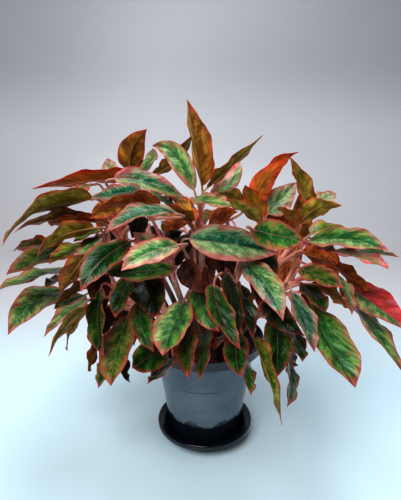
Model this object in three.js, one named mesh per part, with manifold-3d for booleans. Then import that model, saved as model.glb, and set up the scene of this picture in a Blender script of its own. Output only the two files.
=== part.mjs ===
// A potted chinese evergreen (Aglaonema) of the red-edged kind, in its nursery pot on a saucer.
// Millimetres, +Z up. The origin is on the surface that the saucer stands on, on the pot's axis,
// and the front of the plant looks towards -Y.
import * as THREE from 'three';
import Module from 'manifold-3d';
import { mergeVertices } from 'three/addons/utils/BufferGeometryUtils.js';

const wasm = await Module();
wasm.setup();

// Driving dimensions
const GAP = 0.3; // clearance between a piece and what it touches
const ROUND = 32; // facets round the pot and the saucer

const SAUCER = { base: 74, inner: 87, brim: 97, rim: 105, top: 39, lip: 28, wall: 2.2, floor: 3 };
const POT = {
  foot: 75, under: 107, // outer radius at the foot and just below the collar
  collarLow: 220, rim: 242, // heights of the collar's lower edge and of the rim
  collarRadius: 124, wall: 2.2, stepHeight: 157, step: 0.8,
  floor: 7, drainHoles: 6, drainRadius: 6, drainCircle: 50,
};
POT.bottom = SAUCER.floor + GAP; // the foot ring stands on the saucer's floor
POT.slope = (POT.under - POT.foot) / (POT.collarLow - POT.bottom);
const SOIL = { top: 211, crown: 5, holeFloor: 142 };

const CANE = { foot: 7.4, top: 5.6, sides: 6, roots: 9 }; // roots: spacing of stalks down the cane
const STALK = { cane: 4.2, blade: 2.0 }; // radius where it leaves the cane and at the blade
const BLADE = {
  leastLength: 118, ratio: 0.37, leastWidth: 42, mostWidth: 76, fold: 0.2, wave: 3.4, arch: 0.03,
  edge: 0.9, above: 0.5, below: 1.1, // thickness at the margin, and of the rib above and below
};
const CLEAR = { blade: 9, own: 4, stalk: 7, cane: 11, step: 8, most: 13 };

// Small tools
const V = (x, y, z) => new THREE.Vector3(x, y, z);

// A closed solid from a list of points and a list of triangles that face out.
function solidFrom(points, triangles) {
  const vertProperties = new Float32Array(points.length * 3);
  points.forEach((p, i) => vertProperties.set([p.x, p.y, p.z], i * 3));
  return new wasm.Manifold(
    new wasm.Mesh({ numProp: 3, vertProperties, triVerts: new Uint32Array(triangles.flat()) }),
  );
}

// A closed solid from a three.js geometry.
function solidOf(geometry) {
  const bare = geometry.clone();
  bare.deleteAttribute('normal');
  bare.deleteAttribute('uv');
  const merged = mergeVertices(bare, 1e-3);
  const index = Array.from(merged.index.array);
  const kept = [];
  for (let i = 0; i < index.length; i += 3) {
    const [a, b, c] = index.slice(i, i + 3);
    if (a !== b && b !== c && c !== a) kept.push(a, b, c);
  }
  return new wasm.Manifold(
    new wasm.Mesh({
      numProp: 3,
      vertProperties: new Float32Array(merged.attributes.position.array),
      triVerts: new Uint32Array(kept),
    }),
  );
}

// The three.js geometry of a solid.
function geometryOf(solid) {
  const { vertProperties, triVerts, numProp } = solid.getMesh();
  const position = new Float32Array((vertProperties.length / numProp) * 3);
  for (let i = 0; i < position.length / 3; i++)
    position.set(vertProperties.slice(i * numProp, i * numProp + 3), i * 3);
  const geometry = new THREE.BufferGeometry();
  geometry.setAttribute('position', new THREE.BufferAttribute(position, 3));
  geometry.setIndex(new THREE.BufferAttribute(new Uint32Array(triVerts), 1));
  geometry.computeVertexNormals();
  return geometry;
}

// A profile of [radius, height] pairs turned about the upright axis.
function turned(profile, facets) {
  const closed = [...profile, profile[0]].map(([r, z]) => new THREE.Vector2(r, z));
  const geometry = new THREE.LatheGeometry(closed, facets);
  geometry.rotateX(Math.PI / 2);
  return geometry;
}

// An upright round hole to cut out.
function drill(x, y, low, high, radius, sides) {
  const geometry = new THREE.CylinderGeometry(radius, radius, high - low, sides);
  geometry.rotateX(Math.PI / 2);
  geometry.translate(x, y, (low + high) / 2);
  return solidOf(geometry);
}

// A tube with flat ends through the given points, its radius given at each of them.
function tube(points, radii, sides) {
  const vertices = [];
  const triangles = [];
  let normal = V(0, -1, 0);
  points.forEach((p, i) => {
    const ahead = points[Math.min(i + 1, points.length - 1)];
    const behind = points[Math.max(i - 1, 0)];
    const along = ahead.clone().sub(behind).normalize();
    normal = normal.clone().addScaledVector(along, -normal.dot(along)).normalize();
    const across = along.clone().cross(normal);
    for (let k = 0; k < sides; k++) {
      const a = (2 * Math.PI * k) / sides;
      const point = p.clone().addScaledVector(normal, radii[i] * Math.cos(a));
      vertices.push(point.addScaledVector(across, radii[i] * Math.sin(a)));
    }
  });
  for (let i = 0; i + 1 < points.length; i++)
    for (let k = 0; k < sides; k++) {
      const [a, b] = [i * sides + k, i * sides + ((k + 1) % sides)];
      triangles.push([a, b, b + sides], [a, b + sides, a + sides]);
    }
  const last = (points.length - 1) * sides;
  for (let k = 1; k + 1 < sides; k++)
    triangles.push([0, k + 1, k], [last, last + k, last + k + 1]);
  return solidFrom(vertices, triangles);
}

// Saucer: a flat base, a steep wall and a broad rolled brim
const S = SAUCER;
const saucerProfile = [
  [0, 0], [S.base, 0], [S.base + 6, 5.5], [S.inner - 3.6, 16], [S.inner + 1.2, S.top - 7.8],
  [S.brim - 2.4, S.top - 4.6], [S.rim - 3.4, S.top - 2.4], [S.rim - 2.4, S.top - 3.2],
  [S.rim - 2.4, S.lip + 0.4], [S.rim - 0.4, S.lip], [S.rim, S.top - 3], [S.rim - 1.4, S.top],
  [S.rim - 4, S.top], [S.brim - 3, S.top - 2.2], [S.inner + 1.4, S.top - 4.4], [S.inner, S.top - 6],
  [S.inner - 1.4, S.top - 9], [S.inner - 6.2, 15.4], [S.base + 4, S.floor + 4.4],
  [S.base - 0.4, S.floor], [0, S.floor],
];

// Pot: a tapering wall with one small step, a stepped-out collar and a rolled rim
const potRadius = (z) => POT.foot + POT.slope * (z - POT.bottom);
const P = POT;
const shelf = P.collarLow + P.wall;
const potProfile = [
  [0, P.floor - P.wall], [P.foot - 8, P.floor - P.wall], [P.foot - 7, P.bottom],
  [P.foot - 1.8, P.bottom], [P.foot + 0.4, P.bottom + 3],
  [potRadius(P.stepHeight) - P.step, P.stepHeight - 0.4], [potRadius(P.stepHeight), P.stepHeight + 0.6],
  [P.under, P.collarLow], [P.collarRadius - 1, P.collarLow], [P.collarRadius, P.collarLow + 1.4],
  [P.collarRadius + 0.4, P.rim - 4], [P.collarRadius + 1.4, P.rim - 2.6], [P.collarRadius + 0.2, P.rim],
  [P.collarRadius - 1.9, P.rim - 0.8], [P.collarRadius - 2.9, shelf], [P.under - 1.4, shelf],
  [P.under - P.wall, shelf - 1.6], [potRadius(P.stepHeight) - P.wall, P.stepHeight + 0.6],
  [P.foot - P.wall + 0.7, P.floor], [0, P.floor],
];
let pot = solidOf(turned(potProfile, ROUND));
for (let i = 0; i < P.drainHoles; i++) {
  const a = (2 * Math.PI * (i + 0.5)) / P.drainHoles;
  const [x, y] = [P.drainCircle * Math.cos(a), P.drainCircle * Math.sin(a)];
  pot = pot.subtract(drill(x, y, P.floor - P.wall - 2, P.floor + 2, P.drainRadius, 6));
}

// Where things are seen. The leaves are laid out as they look from EYE, in a picture 401 wide and
// 500 high with y down. A place in it and a distance y behind the pot's axis give a point in space.
const EYE = V(-9.5, -845, 654);
const FOCAL = 430;
const CENTRE = { x: 200.5, y: 250 };
const PITCH = THREE.MathUtils.degToRad(15.1); // the line of sight looks down by this much

function seen(px, py, y) {
  const across = (px - CENTRE.x) / FOCAL;
  const down = (py - CENTRE.y) / FOCAL;
  const away = (y - EYE.y) / (Math.cos(PITCH) - down * Math.sin(PITCH));
  return V(EYE.x + across * away, y, EYE.z - away * (Math.sin(PITCH) + down * Math.cos(PITCH)));
}

// The point on the ray through a place in the picture that is a given length from a point:
// nearer the eye for a reach of 1, further for -1.
function reached(px, py, from, length, reach) {
  const ray = seen(px, py, 0).sub(EYE).normalize();
  const along = from.clone().sub(EYE).dot(ray);
  const foot = EYE.clone().addScaledVector(ray, along);
  const off = foot.distanceTo(from);
  const rest = Math.sqrt(Math.max(length * length - off * off, 0));
  return EYE.clone().addScaledVector(ray, along - reach * rest);
}

// The canes and their leaves. Each cane has its foot [x, y] in the soil, its top [x, y, z], and its
// leaves from the top down. A leaf's row holds, in picture units, base x y, middle x y and tip x y
// of its midrib and its seen width, then the face that is seen (1 upper, -1 under), the distance y
// of its base in mm, its reach, and, where the rule's is not right, its real length in mm, its
// fold in radians and the way it is turned (0, left out or -1).
const CANES = {
  stem_centre_top: {
    foot: [-4, 22], top: [-8, 14, 496],
    leaves: {
      A5: [202, 186, 195.5, 143, 187, 99.5, 24, -1, 5, 1, 0, 0.5],
      A6: [207, 188, 232.5, 165.5, 263, 135, 10, -1, 0, 1],
      A3: [194, 190, 175.5, 155, 152, 146, 23, 1, -10, -1, 0, 0.4],
      A4: [151, 175, 173, 162, 194.5, 132, 12, -1, 50, 1],
      A7: [210, 198, 230, 181, 240, 160, 19, 1, -22, -1],
      V2: [194, 198, 212, 202, 243, 208, 13, 1, -45, 1],
      A8: [242, 206, 228, 195, 213, 198, 12, -1, -25, 1, 80],
      V1: [193, 222, 183, 204, 168, 191, 14, 1, -40, -1, 95],
      V3: [172, 208, 160, 198, 148, 190, 9, 1, -20, -1, 80],
      V4: [190, 222, 180, 212, 165, 204, 10, -1, -48, 1, 80],
      I19: [208, 228, 220, 217, 238, 212, 18, 1, 30, 1],
      I36: [190, 215, 177, 222, 164, 232, 20, 1, 10, 1],
    },
  },
  stem_left_top: {
    foot: [-38, 46], top: [-132, 34, 500],
    leaves: {
      A1: [132, 173, 131.5, 151, 147, 129, 27, -1, 45, 1, 116],
      A2: [142, 173, 150, 161, 153, 148, 13, 1, 60, -1, 100],
      H4: [114, 179, 149, 183, 188, 200, 21, 1, -60, -1],
      H7: [114, 183, 111, 170, 108, 158, 18, 1, 60, -1, 95],
      I38: [118, 211, 107, 220, 97, 228, 18, 1, 40, 1],
    },
  },
  stem_left: {
    foot: [-66, 18], top: [-186, -8, 490],
    leaves: {
      H5: [136, 177, 89, 180.5, 32, 189, 14.5, -1, -15, -1, 195],
      H9: [95, 184, 82, 190, 75, 204, 12, 1, -5, 1, 75],
      H3: [142, 192, 113, 194, 86, 200, 15, 1, -15, -1],
      L1: [92, 199, 38, 210.5, 2.5, 246, 14.5, -1, -40, 1],
      H2: [160, 205, 130, 202, 97, 208, 17, -1, -20, 1],
      H1: [178, 214, 140, 213, 105, 234, 17, 1, -75, 1],
      L2: [96, 222, 50, 219.5, 14, 233, 12, -1, -10, 1],
      L3: [95, 220, 69, 222.5, 47, 221.5, 13, -1, -30, 1],
      I14: [122, 204, 106, 210, 90, 219, 20, 1, 0, 1, 105],
      I33: [106, 199, 94, 205, 83, 213, 18, 1, 30, 1],
    },
  },
  stem_left_middle: {
    foot: [-74, -14], top: [-184, -24, 428],
    leaves: {
      L8: [96, 228, 86, 236, 73, 242, 10, 1, -75, 1, 70],
      L4: [94, 228, 60, 236.5, 37, 257, 17, -1, -60, 1],
      L9: [96, 236, 88, 250, 74, 257, 15, 1, -90, 1, 90],
      L7: [92, 244, 68, 252, 49, 264, 16, 1, -80, 1],
      L6: [52, 245, 29, 245, 13, 251, 13, -1, 0, 1, 110],
      L5: [66, 249, 37, 258, 6, 275, 22, 1, -50, 1],
      M1: [64, 268, 31, 278, -5, 291, 12, 1, -20, 1],
      M2: [68, 277, 57, 281, 45, 287, 10, 1, -10, 1, 90],
      I4: [101, 258, 101, 288, 101, 320, 26, 1, 10, 1],
    },
  },
  stem_left_low: {
    foot: [-62, -46], top: [-170, -66, 372],
    leaves: {
      M3: [86, 254, 72.5, 273, 60, 294, 22, -1, -90, -1],
      M9: [85, 284, 72, 292, 58, 299, 12, -1, -60, 1, 90],
      M8: [85, 295, 68, 303, 54, 309, 14, 1, -50, 1, 95],
      M4: [64, 291, 33, 303, 8, 335, 31, 1, -20, 1],
      N1: [101, 288, 97.5, 322, 104, 356, 20, 1, -110, 1],
      M5: [93, 299, 69.5, 311, 44, 337, 12, 1, -80, 1],
      M6: [89, 309, 69, 322, 48.5, 357, 13, -1, -70, 1],
      N6: [118, 304, 110, 320, 101, 336, 20, 1, -60, 1, 90],
      M7: [84, 315, 70, 333, 68, 351, 7, -1, -40, 1, 100],
      N3: [110, 352, 106, 371, 98, 388, 18, 1, -80, 1, 95],
      N2: [101, 340, 93, 357, 88, 371.5, 12, -1, -100, 1, 90],
    },
  },
  stem_front_left: {
    foot: [-26, -40], top: [-68, -62, 424],
    leaves: {
      V5: [140, 208, 138, 222, 132, 238, 24, -1, -25, 1, 95],
      V6: [165, 222, 170, 233, 168, 249, 19, 1, -75, 1, 90],
      G1: [179, 245, 146, 254, 121, 271, 27, 1, -176, 1],
      G3: [130, 242, 100, 262, 81, 292, 30, 1, -90, 1],
      G2: [173, 267, 135, 272, 100, 272, 24, 1, -110, 1],
      G1b: [167, 255, 149, 246, 133, 232, 26, 1, -144, 1, 100],
    },
  },
  stem_front_left_low: {
    foot: [-45, -60], top: [-84, -84, 352],
    leaves: {
      O2: [127, 276, 121, 298, 115, 318, 22, 1, -100, 1, 110],
      O1: [138, 270, 150, 296, 154, 318, 37, 1, -90, 1],
      O3: [140, 303, 142, 330, 154, 352, 24, 1, -110, 1],
      N4: [128, 316, 116, 354, 111, 386, 35, 1, -110, 1],
      N5: [124, 342, 120.5, 366, 131, 383, 14, 1, -95, 1, 100],
      O5: [167, 345, 145, 359.5, 132, 368, 35, 1, -125, 1],
      O6: [172, 360, 160, 374, 147, 384, 12, 1, -128, 1, 90],
    },
  },
  stem_front: {
    foot: [-8, -70], top: [-18, -66, 388],
    leaves: {
      F1: [189, 239, 235, 245, 279, 254, 37, 1, -130, -1, 185],
      P3: [186, 260, 191, 278, 203, 293, 26, 1, -95, 1, 100],
      P5: [207, 268, 211, 289, 213, 308, 20, 1, -100, 1, 100],
      O4: [184, 301, 171, 331, 163, 356, 38, 1, -140, 1, 160],
      P4: [199, 285, 203, 310.5, 220, 332, 30, 1, -120, 1],
      P1: [190, 320, 187, 350, 189, 378, 26, 1, -150, 1],
      P2: [206, 328, 205, 355, 199, 381, 16, 1, -140, 1],
      I15: [188, 234, 181, 252, 174, 270, 20, 1, -40, 1, 100],
      I7: [214, 296, 210, 322, 214, 348, 24, 1, -60, 1],
    },
  },
  stem_front_right: {
    foot: [28, -62], top: [60, -56, 372],
    leaves: {
      F2: [243, 262, 267, 286, 283, 321, 31, 1, -120, 1],
      P6: [214, 285, 221, 317, 241, 350, 25, 1, -145, 1],
      P7: [226, 272, 232, 302, 238, 338, 20, 1, -120, 1],
      P8: [240, 284, 246, 310, 254, 338, 20, 1, -110, 1],
      P11: [228, 332, 220, 343, 214, 349, 8, 1, -130, 1, 60],
      P9: [238, 333, 236, 356, 241, 377, 30, 1, -150, 1],
      Q3: [254, 340, 268.5, 377, 282, 426, 14, -1, -130, 1],
      P10: [245, 356, 246.5, 374, 251, 396, 14, 1, -145, 1],
      I6: [226, 226, 224, 256, 228, 290, 28, 1, -10, 1],
    },
  },
  stem_right_top: {
    foot: [30, 10], top: [104, -10, 482],
    leaves: {
      C1: [259, 207, 263, 182.5, 290, 158, 23, -1, -10, 1],
      C1b: [262, 200, 274.5, 169, 299, 152, 15, -1, 20, 1],
      V8: [262, 218, 253, 200, 245, 185, 19, -1, 10, 1, 105],
      C3: [268, 214, 280, 200, 297, 182, 27, 1, -45, -1],
      A9: [258, 222, 243, 209, 226, 198, 14, -1, -40, 1],
      E1: [254, 230, 279, 236, 306, 242, 33, 1, -140, 1],
      I17: [292, 236, 278, 222, 262, 210, 22, 1, 20, 1],
    },
  },
  stem_right: {
    foot: [66, 16], top: [184, 4, 458],
    leaves: {
      C2: [307, 204, 302.5, 183, 289, 156, 16, -1, 25, 1],
      C4: [312, 208, 325, 198, 336, 193, 17, 1, 50, -1, 95],
      C5: [299, 224, 317, 208, 342, 206, 20, -1, -20, 1],
      C7: [297, 224, 288, 213, 278, 207, 12, -1, -25, 1, 80],
      D2: [311, 234, 330, 228, 358, 236, 11, 1, -10, -1],
      D1: [308, 241, 347, 239.5, 389, 251, 23, 1, -50, 1],
      D1b: [335, 250, 370, 253, 399, 257, 6, 1, -10, 1],
      T1: [303, 243, 320, 247, 337, 252, 10, 1, -60, 1, 80],
      D4: [333, 251, 366, 259, 388.5, 269, 11, 1, -60, 1],
      I18: [306, 240, 301, 216, 300, 192, 20, 1, 10, 1],
    },
  },
  stem_right_middle: {
    foot: [73, -18], top: [172, -38, 388],
    leaves: {
      S3: [335, 266, 352, 278, 373, 291, 16, -1, -30, 1],
      S5: [303, 253, 319.5, 258, 338, 262, 17, -1, -75, 1, 90],
      S6: [301, 268, 321.5, 277.5, 344, 288, 22, 1, -95, 1],
      S2: [344, 284, 373, 303, 410, 332, 34, 1, -60, 1],
      S7: [333, 272, 345, 290, 352, 315, 13, 1, -60, 1],
      S8: [318, 286, 334, 295.5, 349, 309, 14, -1, -70, 1, 100],
      I12: [314, 244, 328, 257, 342, 268, 22, 1, 30, 1],
    },
  },
  stem_right_low: {
    foot: [56, -50], top: [148, -80, 378],
    leaves: {
      R3: [303, 284, 316, 299, 326, 312, 19, 1, -90, 1, 100],
      R1: [292, 291, 304, 320, 314.5, 352, 22, 1, -165, 1],
      R2: [302, 300, 330, 344, 355.5, 388, 41, 1, -120, 1],
      S1: [354, 306, 373, 329.5, 406, 376, 18, 1, -100, 1, 185],
      Q1: [268, 296, 279, 316, 305, 336, 28, 1, -120, 1],
      Q5: [296, 328, 297, 347, 303, 362, 17, 1, -120, 1, 100],
      Q2: [275, 316, 277.5, 348, 275.5, 379, 32, 1, -150, 1],
      Q4: [288, 358, 291, 382, 287, 407, 13, 1, -120, 1, 110],
      Q6: [291, 346, 290, 358, 294, 368, 9, 1, -110, 1, 70],
      I9: [270, 250, 262, 278, 258, 306, 30, 1, -20, 1],
      I34: [264, 298, 262, 318, 259, 338, 20, 1, -60, 1],
    },
  },
  stem_back_left: {
    foot: [-52, 54], top: [-120, 92, 400], heading: 132,
    leaves: {
      I21: [118, 222, 112, 250, 106, 284, 28, 1, 60, 1],
      I22: [150, 226, 156, 254, 160, 288, 28, 1, 60, 1],
      I27: [126, 292, 130, 318, 134, 346, 26, 1, 20, 1],
    },
  },
  stem_back: {
    foot: [-8, 74], top: [-26, 122, 426], heading: 96,
    leaves: {
      I23: [196, 226, 203, 256, 212, 288, 30, 1, 60, 1],
    },
  },
  stem_back_right: {
    foot: [38, 66], top: [84, 106, 418], heading: 62,
    leaves: {
      I25: [292, 236, 288, 262, 284, 294, 28, 1, 60, 1],
    },
  },
  stem_far_right: {
    foot: [62, 43], top: [170, 70, 392],
    leaves: {
      I31: [314, 240, 327, 258, 338, 282, 24, 1, 76, 1],
      I32: [318, 282, 310, 304, 306, 330, 24, 1, 0, 1],
    },
  },
};

// The far side: more leaves on the back canes, spread by rule round a heading in degrees, seen
// from above (90 looks straight back), and kept lower than the leaves in front of them.
const BACK = { seed: 20260, leaves: 4, spread: 96, stalk: 88, blade: 132 };

let state = BACK.seed;
function draw() {
  state = (state * 1664525 + 1013904223) % 4294967296;
  return state / 4294967296;
}

function backLeaves({ top, heading }) {
  const up = V(0, 0, 1);
  const leaves = [];
  for (let i = 0; i < BACK.leaves; i++) {
    const share = i / (BACK.leaves - 1) - 0.5;
    const turn = THREE.MathUtils.degToRad(heading + share * BACK.spread + 14 * (draw() - 0.5));
    const lift = THREE.MathUtils.degToRad(i % 2 ? 22 : -4);
    const stalk = BACK.stalk * (0.85 + 0.3 * draw());
    const length = BACK.blade * (0.88 + 0.24 * draw());
    const out = V(Math.cos(turn), Math.sin(turn), 0);
    const climb = (from, by, angle) => from.clone()
      .addScaledVector(out, by * Math.cos(angle))
      .addScaledVector(up, by * Math.sin(angle));
    const base = climb(V(...top), stalk, lift);
    const tip = climb(base, length, lift - 0.8);
    const middle = base.clone().lerp(tip, 0.5).addScaledVector(up, 0.13 * length);
    leaves.push({ base, middle, tip, width: BLADE.ratio * length, fold: BLADE.fold });
  }
  return leaves;
}

// The outline: half the width at a share t of the length, 1 at the widest.
const outline = (t) => (Math.pow(t, 0.62) * Math.pow(1 - t, 0.98)) / 0.3442;

// A leaf in space from its row, slid back by some mm.
function leafFromRow(row, slide) {
  const [bx, by, mx, my, tx, ty, seenWidth, face, y, reach, long, fold, turn] = row;
  const base = seen(bx, by, y + slide);
  const flat = seen(tx, ty, y + slide).distanceTo(base);
  const length = long || Math.max(1.06 * flat, BLADE.leastLength);
  const tip = reached(tx, ty, base, length, reach);
  const halfway = (base.y + tip.y) / 2;
  const wide = (seenWidth * (halfway - EYE.y)) / FOCAL;
  const width = Math.max(BLADE.ratio * length, BLADE.leastWidth, Math.min(wide, BLADE.mostWidth));
  const show = face * Math.min(Math.max(wide / width, 0.16), 1);
  const bent = (y) => leafOf({
    base, middle: seen(mx, my, y), tip, width, show, fold: fold || BLADE.fold, turn: turn || 1,
  });
  // the midrib arches towards the upper face: where it would sag, its middle moves along its ray
  const plain = bent(halfway);
  const arch = plain.rib.getPoint(0.5).sub(base.clone().lerp(tip, 0.5)).dot(plain.face);
  const lack = Math.min(BLADE.arch * length - arch, 0.3 * length);
  return lack > 0 ? bent(halfway - Math.sign(show) * Math.min(lack / Math.abs(show), 0.2 * length)) : plain;
}

// The midrib as a curve, and the direction that the upper face looks in at its middle: tipped so
// far from the eye that the seen share of the width shows, and otherwise upwards.
function leafOf({ base, middle, tip, width, show, fold, turn }) {
  const bend = middle.clone().multiplyScalar(2).addScaledVector(base, -0.5).addScaledVector(tip, -0.5);
  const rib = new THREE.QuadraticBezierCurve3(base, bend, tip);
  const along = tip.clone().sub(base).normalize();
  let face;
  if (show === undefined) {
    face = V(0, 0, 1).addScaledVector(along, -along.z).normalize();
  } else {
    const eye = EYE.clone().sub(middle).normalize();
    const to = eye.addScaledVector(along, -eye.dot(along)).normalize();
    const across = along.clone().cross(to);
    const side = (across.z >= 0 ? 1 : -1) * turn;
    face = to.multiplyScalar(show).addScaledVector(across, side * Math.sqrt(1 - show * show));
  }
  return { rib, chord: along, face, width, fold };
}

// The midrib's point, its direction, the upper face and the side at a share t of the length. The
// face turns with the midrib, from how it lies on the straight line from base to tip.
function station(leaf, t) {
  const point = leaf.rib.getPoint(t);
  const along = leaf.rib.getTangent(t);
  const turn = new THREE.Quaternion().setFromUnitVectors(leaf.chord, along);
  const face = leaf.face.clone().applyQuaternion(turn);
  return { point, along, face, side: along.clone().cross(face) };
}

// A point of the blade's middle surface: t along the midrib, u from -1 to 1 across. The two halves
// rise from the rib by the fold, and the margins wave.
function bladePoint(leaf, t, u) {
  const { point, face, side } = station(leaf, t);
  const half = (leaf.width / 2) * outline(t) * Math.abs(u);
  const wave = BLADE.wave * Math.sin(15 * t + leaf.phase + 0.9 * Math.sign(u)) * outline(t) * u * u;
  return point
    .addScaledVector(side, Math.sign(u) * half * Math.cos(leaf.fold))
    .addScaledVector(face, half * Math.sin(leaf.fold) + wave);
}

// The stalk and its blade as one closed solid: three-sided rings along the stalk, then six-sided
// ones across the blade, whose two faces are split into the same triangles.
function leafSolid(leaf, path, stations) {
  const vertices = [];
  const triangles = [];
  const start = station(leaf, 0);
  const last = path.length - 1;
  let face = start.face;
  const rings = [];
  for (let k = last; k >= 0; k--) {
    const along = k === last ? start.along
      : path[k + 1].clone().sub(path[Math.max(k - 1, 0)]).normalize();
    face = face.clone().addScaledVector(along, -face.dot(along)).normalize();
    const side = along.clone().cross(face);
    const radius = STALK.cane + (STALK.blade - STALK.cane) * (k / last);
    const corner = (across, rise) => path[k].clone()
      .addScaledVector(side, across * radius)
      .addScaledVector(face, rise * radius);
    rings.unshift([corner(-0.87, 0.5), corner(0.87, 0.5), corner(0, -1)]);
  }
  rings.forEach((corners) => vertices.push(...corners));
  triangles.push([0, 2, 1]);
  for (let i = 0; i < last; i++)
    for (let k = 0; k < 3; k++) {
      const [v, w] = [3 * i + k, 3 * i + ((k + 1) % 3)];
      triangles.push([v, w, w + 3], [v, w + 3, v + 3]);
    }
  const left = 3 * last; // the left, right and low corner where the blade begins
  const [right, low] = [left + 1, left + 2];
  const first = vertices.length;
  for (const t of stations) {
    const up = station(leaf, t).face;
    const put = (u, rise) => vertices.push(bladePoint(leaf, t, u).addScaledVector(up, rise));
    put(-1, BLADE.edge / 2); // left, rib and right above, then right, rib and left below
    put(0, BLADE.above);
    put(1, BLADE.edge / 2);
    put(1, -BLADE.edge / 2);
    put(0, -BLADE.below);
    put(-1, -BLADE.edge / 2);
  }
  triangles.push(
    [left, first + 1, first], [left, right, first + 1], [right, first + 2, first + 1],
    [right, first + 3, first + 2], [right, low, first + 3], [low, first + 4, first + 3],
    [low, first + 5, first + 4], [low, left, first + 5], [left, first, first + 5],
  );
  for (let i = 0; i + 1 < stations.length; i++) {
    const v = (k) => first + i * 6 + k;
    const w = (k) => v(k) + 6;
    triangles.push([v(0), v(1), w(1)], [v(0), w(1), w(0)], [v(1), v(2), w(1)], [v(2), w(2), w(1)]);
    triangles.push([v(5), w(4), v(4)], [v(5), w(5), w(4)], [v(4), w(4), v(3)], [v(3), w(4), w(3)]);
    triangles.push([v(2), v(3), w(3)], [v(2), w(3), w(2)], [v(5), v(0), w(0)], [v(5), w(0), w(5)]);
  }
  const tip = vertices.push(leaf.rib.getPoint(1)) - 1;
  for (let k = 0; k < 6; k++) triangles.push([tip, tip - 6 + k, tip - 6 + ((k + 1) % 6)]);
  return solidFrom(vertices, triangles);
}

// A cane stands upright in its hole, leans out above the soil and straightens towards its top.
function caneCurve({ foot, top }) {
  const ground = V(foot[0], foot[1], SOIL.top + SOIL.crown + 4);
  const head = V(...top);
  const rise = head.z - ground.z;
  const lean = head.clone().sub(ground).normalize().lerp(V(0, 0, 1), 0.35).normalize();
  return new THREE.CubicBezierCurve3(
    ground,
    ground.clone().add(V(0, 0, 0.36 * rise)),
    head.clone().addScaledVector(lean, -0.34 * rise),
    head,
  );
}

// A stalk springs from the cane's head, lower down for each further leaf, and arrives at the
// blade along the midrib.
function stalkCurve(cane, place, leaf) {
  const curve = caneCurve(cane);
  const share = 1 - Math.min((place * CANE.roots + 4) / (cane.top[2] - SOIL.top), 0.62);
  const root = curve.getPoint(share);
  const start = station(leaf, 0);
  const reach = root.distanceTo(start.point);
  const out = start.point.clone().sub(root).normalize().lerp(curve.getTangent(share), 0.62).normalize();
  return new THREE.CubicBezierCurve3(
    root,
    root.clone().addScaledVector(out, 0.42 * reach),
    start.point.clone().addScaledVector(start.along, -0.36 * reach),
    start.point,
  );
}

function sampled(curve, steps) {
  return Array.from({ length: steps + 1 }, (_, i) => curve.getPoint(i / steps));
}

// Bending clear. A leaf that would touch a piece placed before it slides along the line of sight,
// towards the eye or away from it in turn, until it is clear. Every piece is a cloud of points.
const placed = [];

function remember(stem, kind, points) {
  const centre = points.reduce((sum, p) => sum.add(p), V(0, 0, 0)).divideScalar(points.length);
  const radius = Math.max(...points.map((p) => p.distanceTo(centre)));
  placed.push({ stem, kind, points, centre, radius });
}

// What is left of the distance that a piece should keep from all those placed so far.
function roomFor(stem, kind, points) {
  const centre = points.reduce((sum, p) => sum.add(p), V(0, 0, 0)).divideScalar(points.length);
  const radius = Math.max(...points.map((p) => p.distanceTo(centre)));
  let least = Infinity;
  for (const other of placed) {
    const own = other.stem === stem;
    if (own && (kind !== 'blade' || other.kind !== 'blade')) continue;
    let keep = CLEAR.stalk;
    if (kind === 'blade' && other.kind === 'blade') keep = own ? CLEAR.own : CLEAR.blade;
    if (other.kind === 'cane') keep = CLEAR.cane;
    if (centre.distanceTo(other.centre) - radius - other.radius > keep) continue;
    for (const p of points)
      for (const q of other.points) least = Math.min(least, p.distanceTo(q) - keep);
  }
  for (const p of points) {
    const radial = Math.hypot(p.x, p.y);
    if (p.z > POT.rim + 5 || radial > POT.collarRadius + 10) continue;
    const inside = kind === 'stalk' && radial < POT.collarRadius - 10 && p.z > SOIL.top + SOIL.crown + 6;
    if (!inside) least = Math.min(least, radial - POT.collarRadius - 10);
  }
  return least;
}

// A leaf where there is most room for it, with the clouds of its blade and stalk.
function settled(stem, cane, place, inner, make) {
  let best = null;
  for (let n = 0; n <= (inner ? CLEAR.most : 2 * CLEAR.most); n++) {
    let steps = n % 2 ? -(n + 1) / 2 : n / 2; // 0, -1, 1, -2, 2 and so on
    if (inner) steps = n; // the inner leaves stay behind the others
    const leaf = make(steps * CLEAR.step);
    const blade = [];
    for (let i = 1; i <= 17; i++)
      for (let j = -3; j <= 3; j++) blade.push(bladePoint(leaf, Math.min(i / 17, 0.995), j / 3));
    const stalk = sampled(stalkCurve(cane, place, leaf), 26).slice(1);
    const room = Math.min(roomFor(stem, 'blade', blade), roomFor(stem, 'stalk', stalk));
    if (!best || room > best.room) best = { leaf, blade, stalk, room, steps };
    if (room >= 0) break;
  }
  if (inner && best.room < 0) return best;
  remember(stem, 'blade', best.blade);
  remember(stem, 'stalk', best.stalk);
  return best;
}

for (const [stem, cane] of Object.entries(CANES)) remember(stem, 'cane', sampled(caneCurve(cane), 30));

// Shares of the length at which a blade has a ring: more for the leaves that are seen best, as
// their seen width tells, and fewer for the inner ones.
const RINGS = {
  full: [0.07, 0.22, 0.42, 0.63, 0.83],
  light: [0.08, 0.3, 0.57, 0.8],
  least: [0.1, 0.4, 0.72],
};

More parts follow.
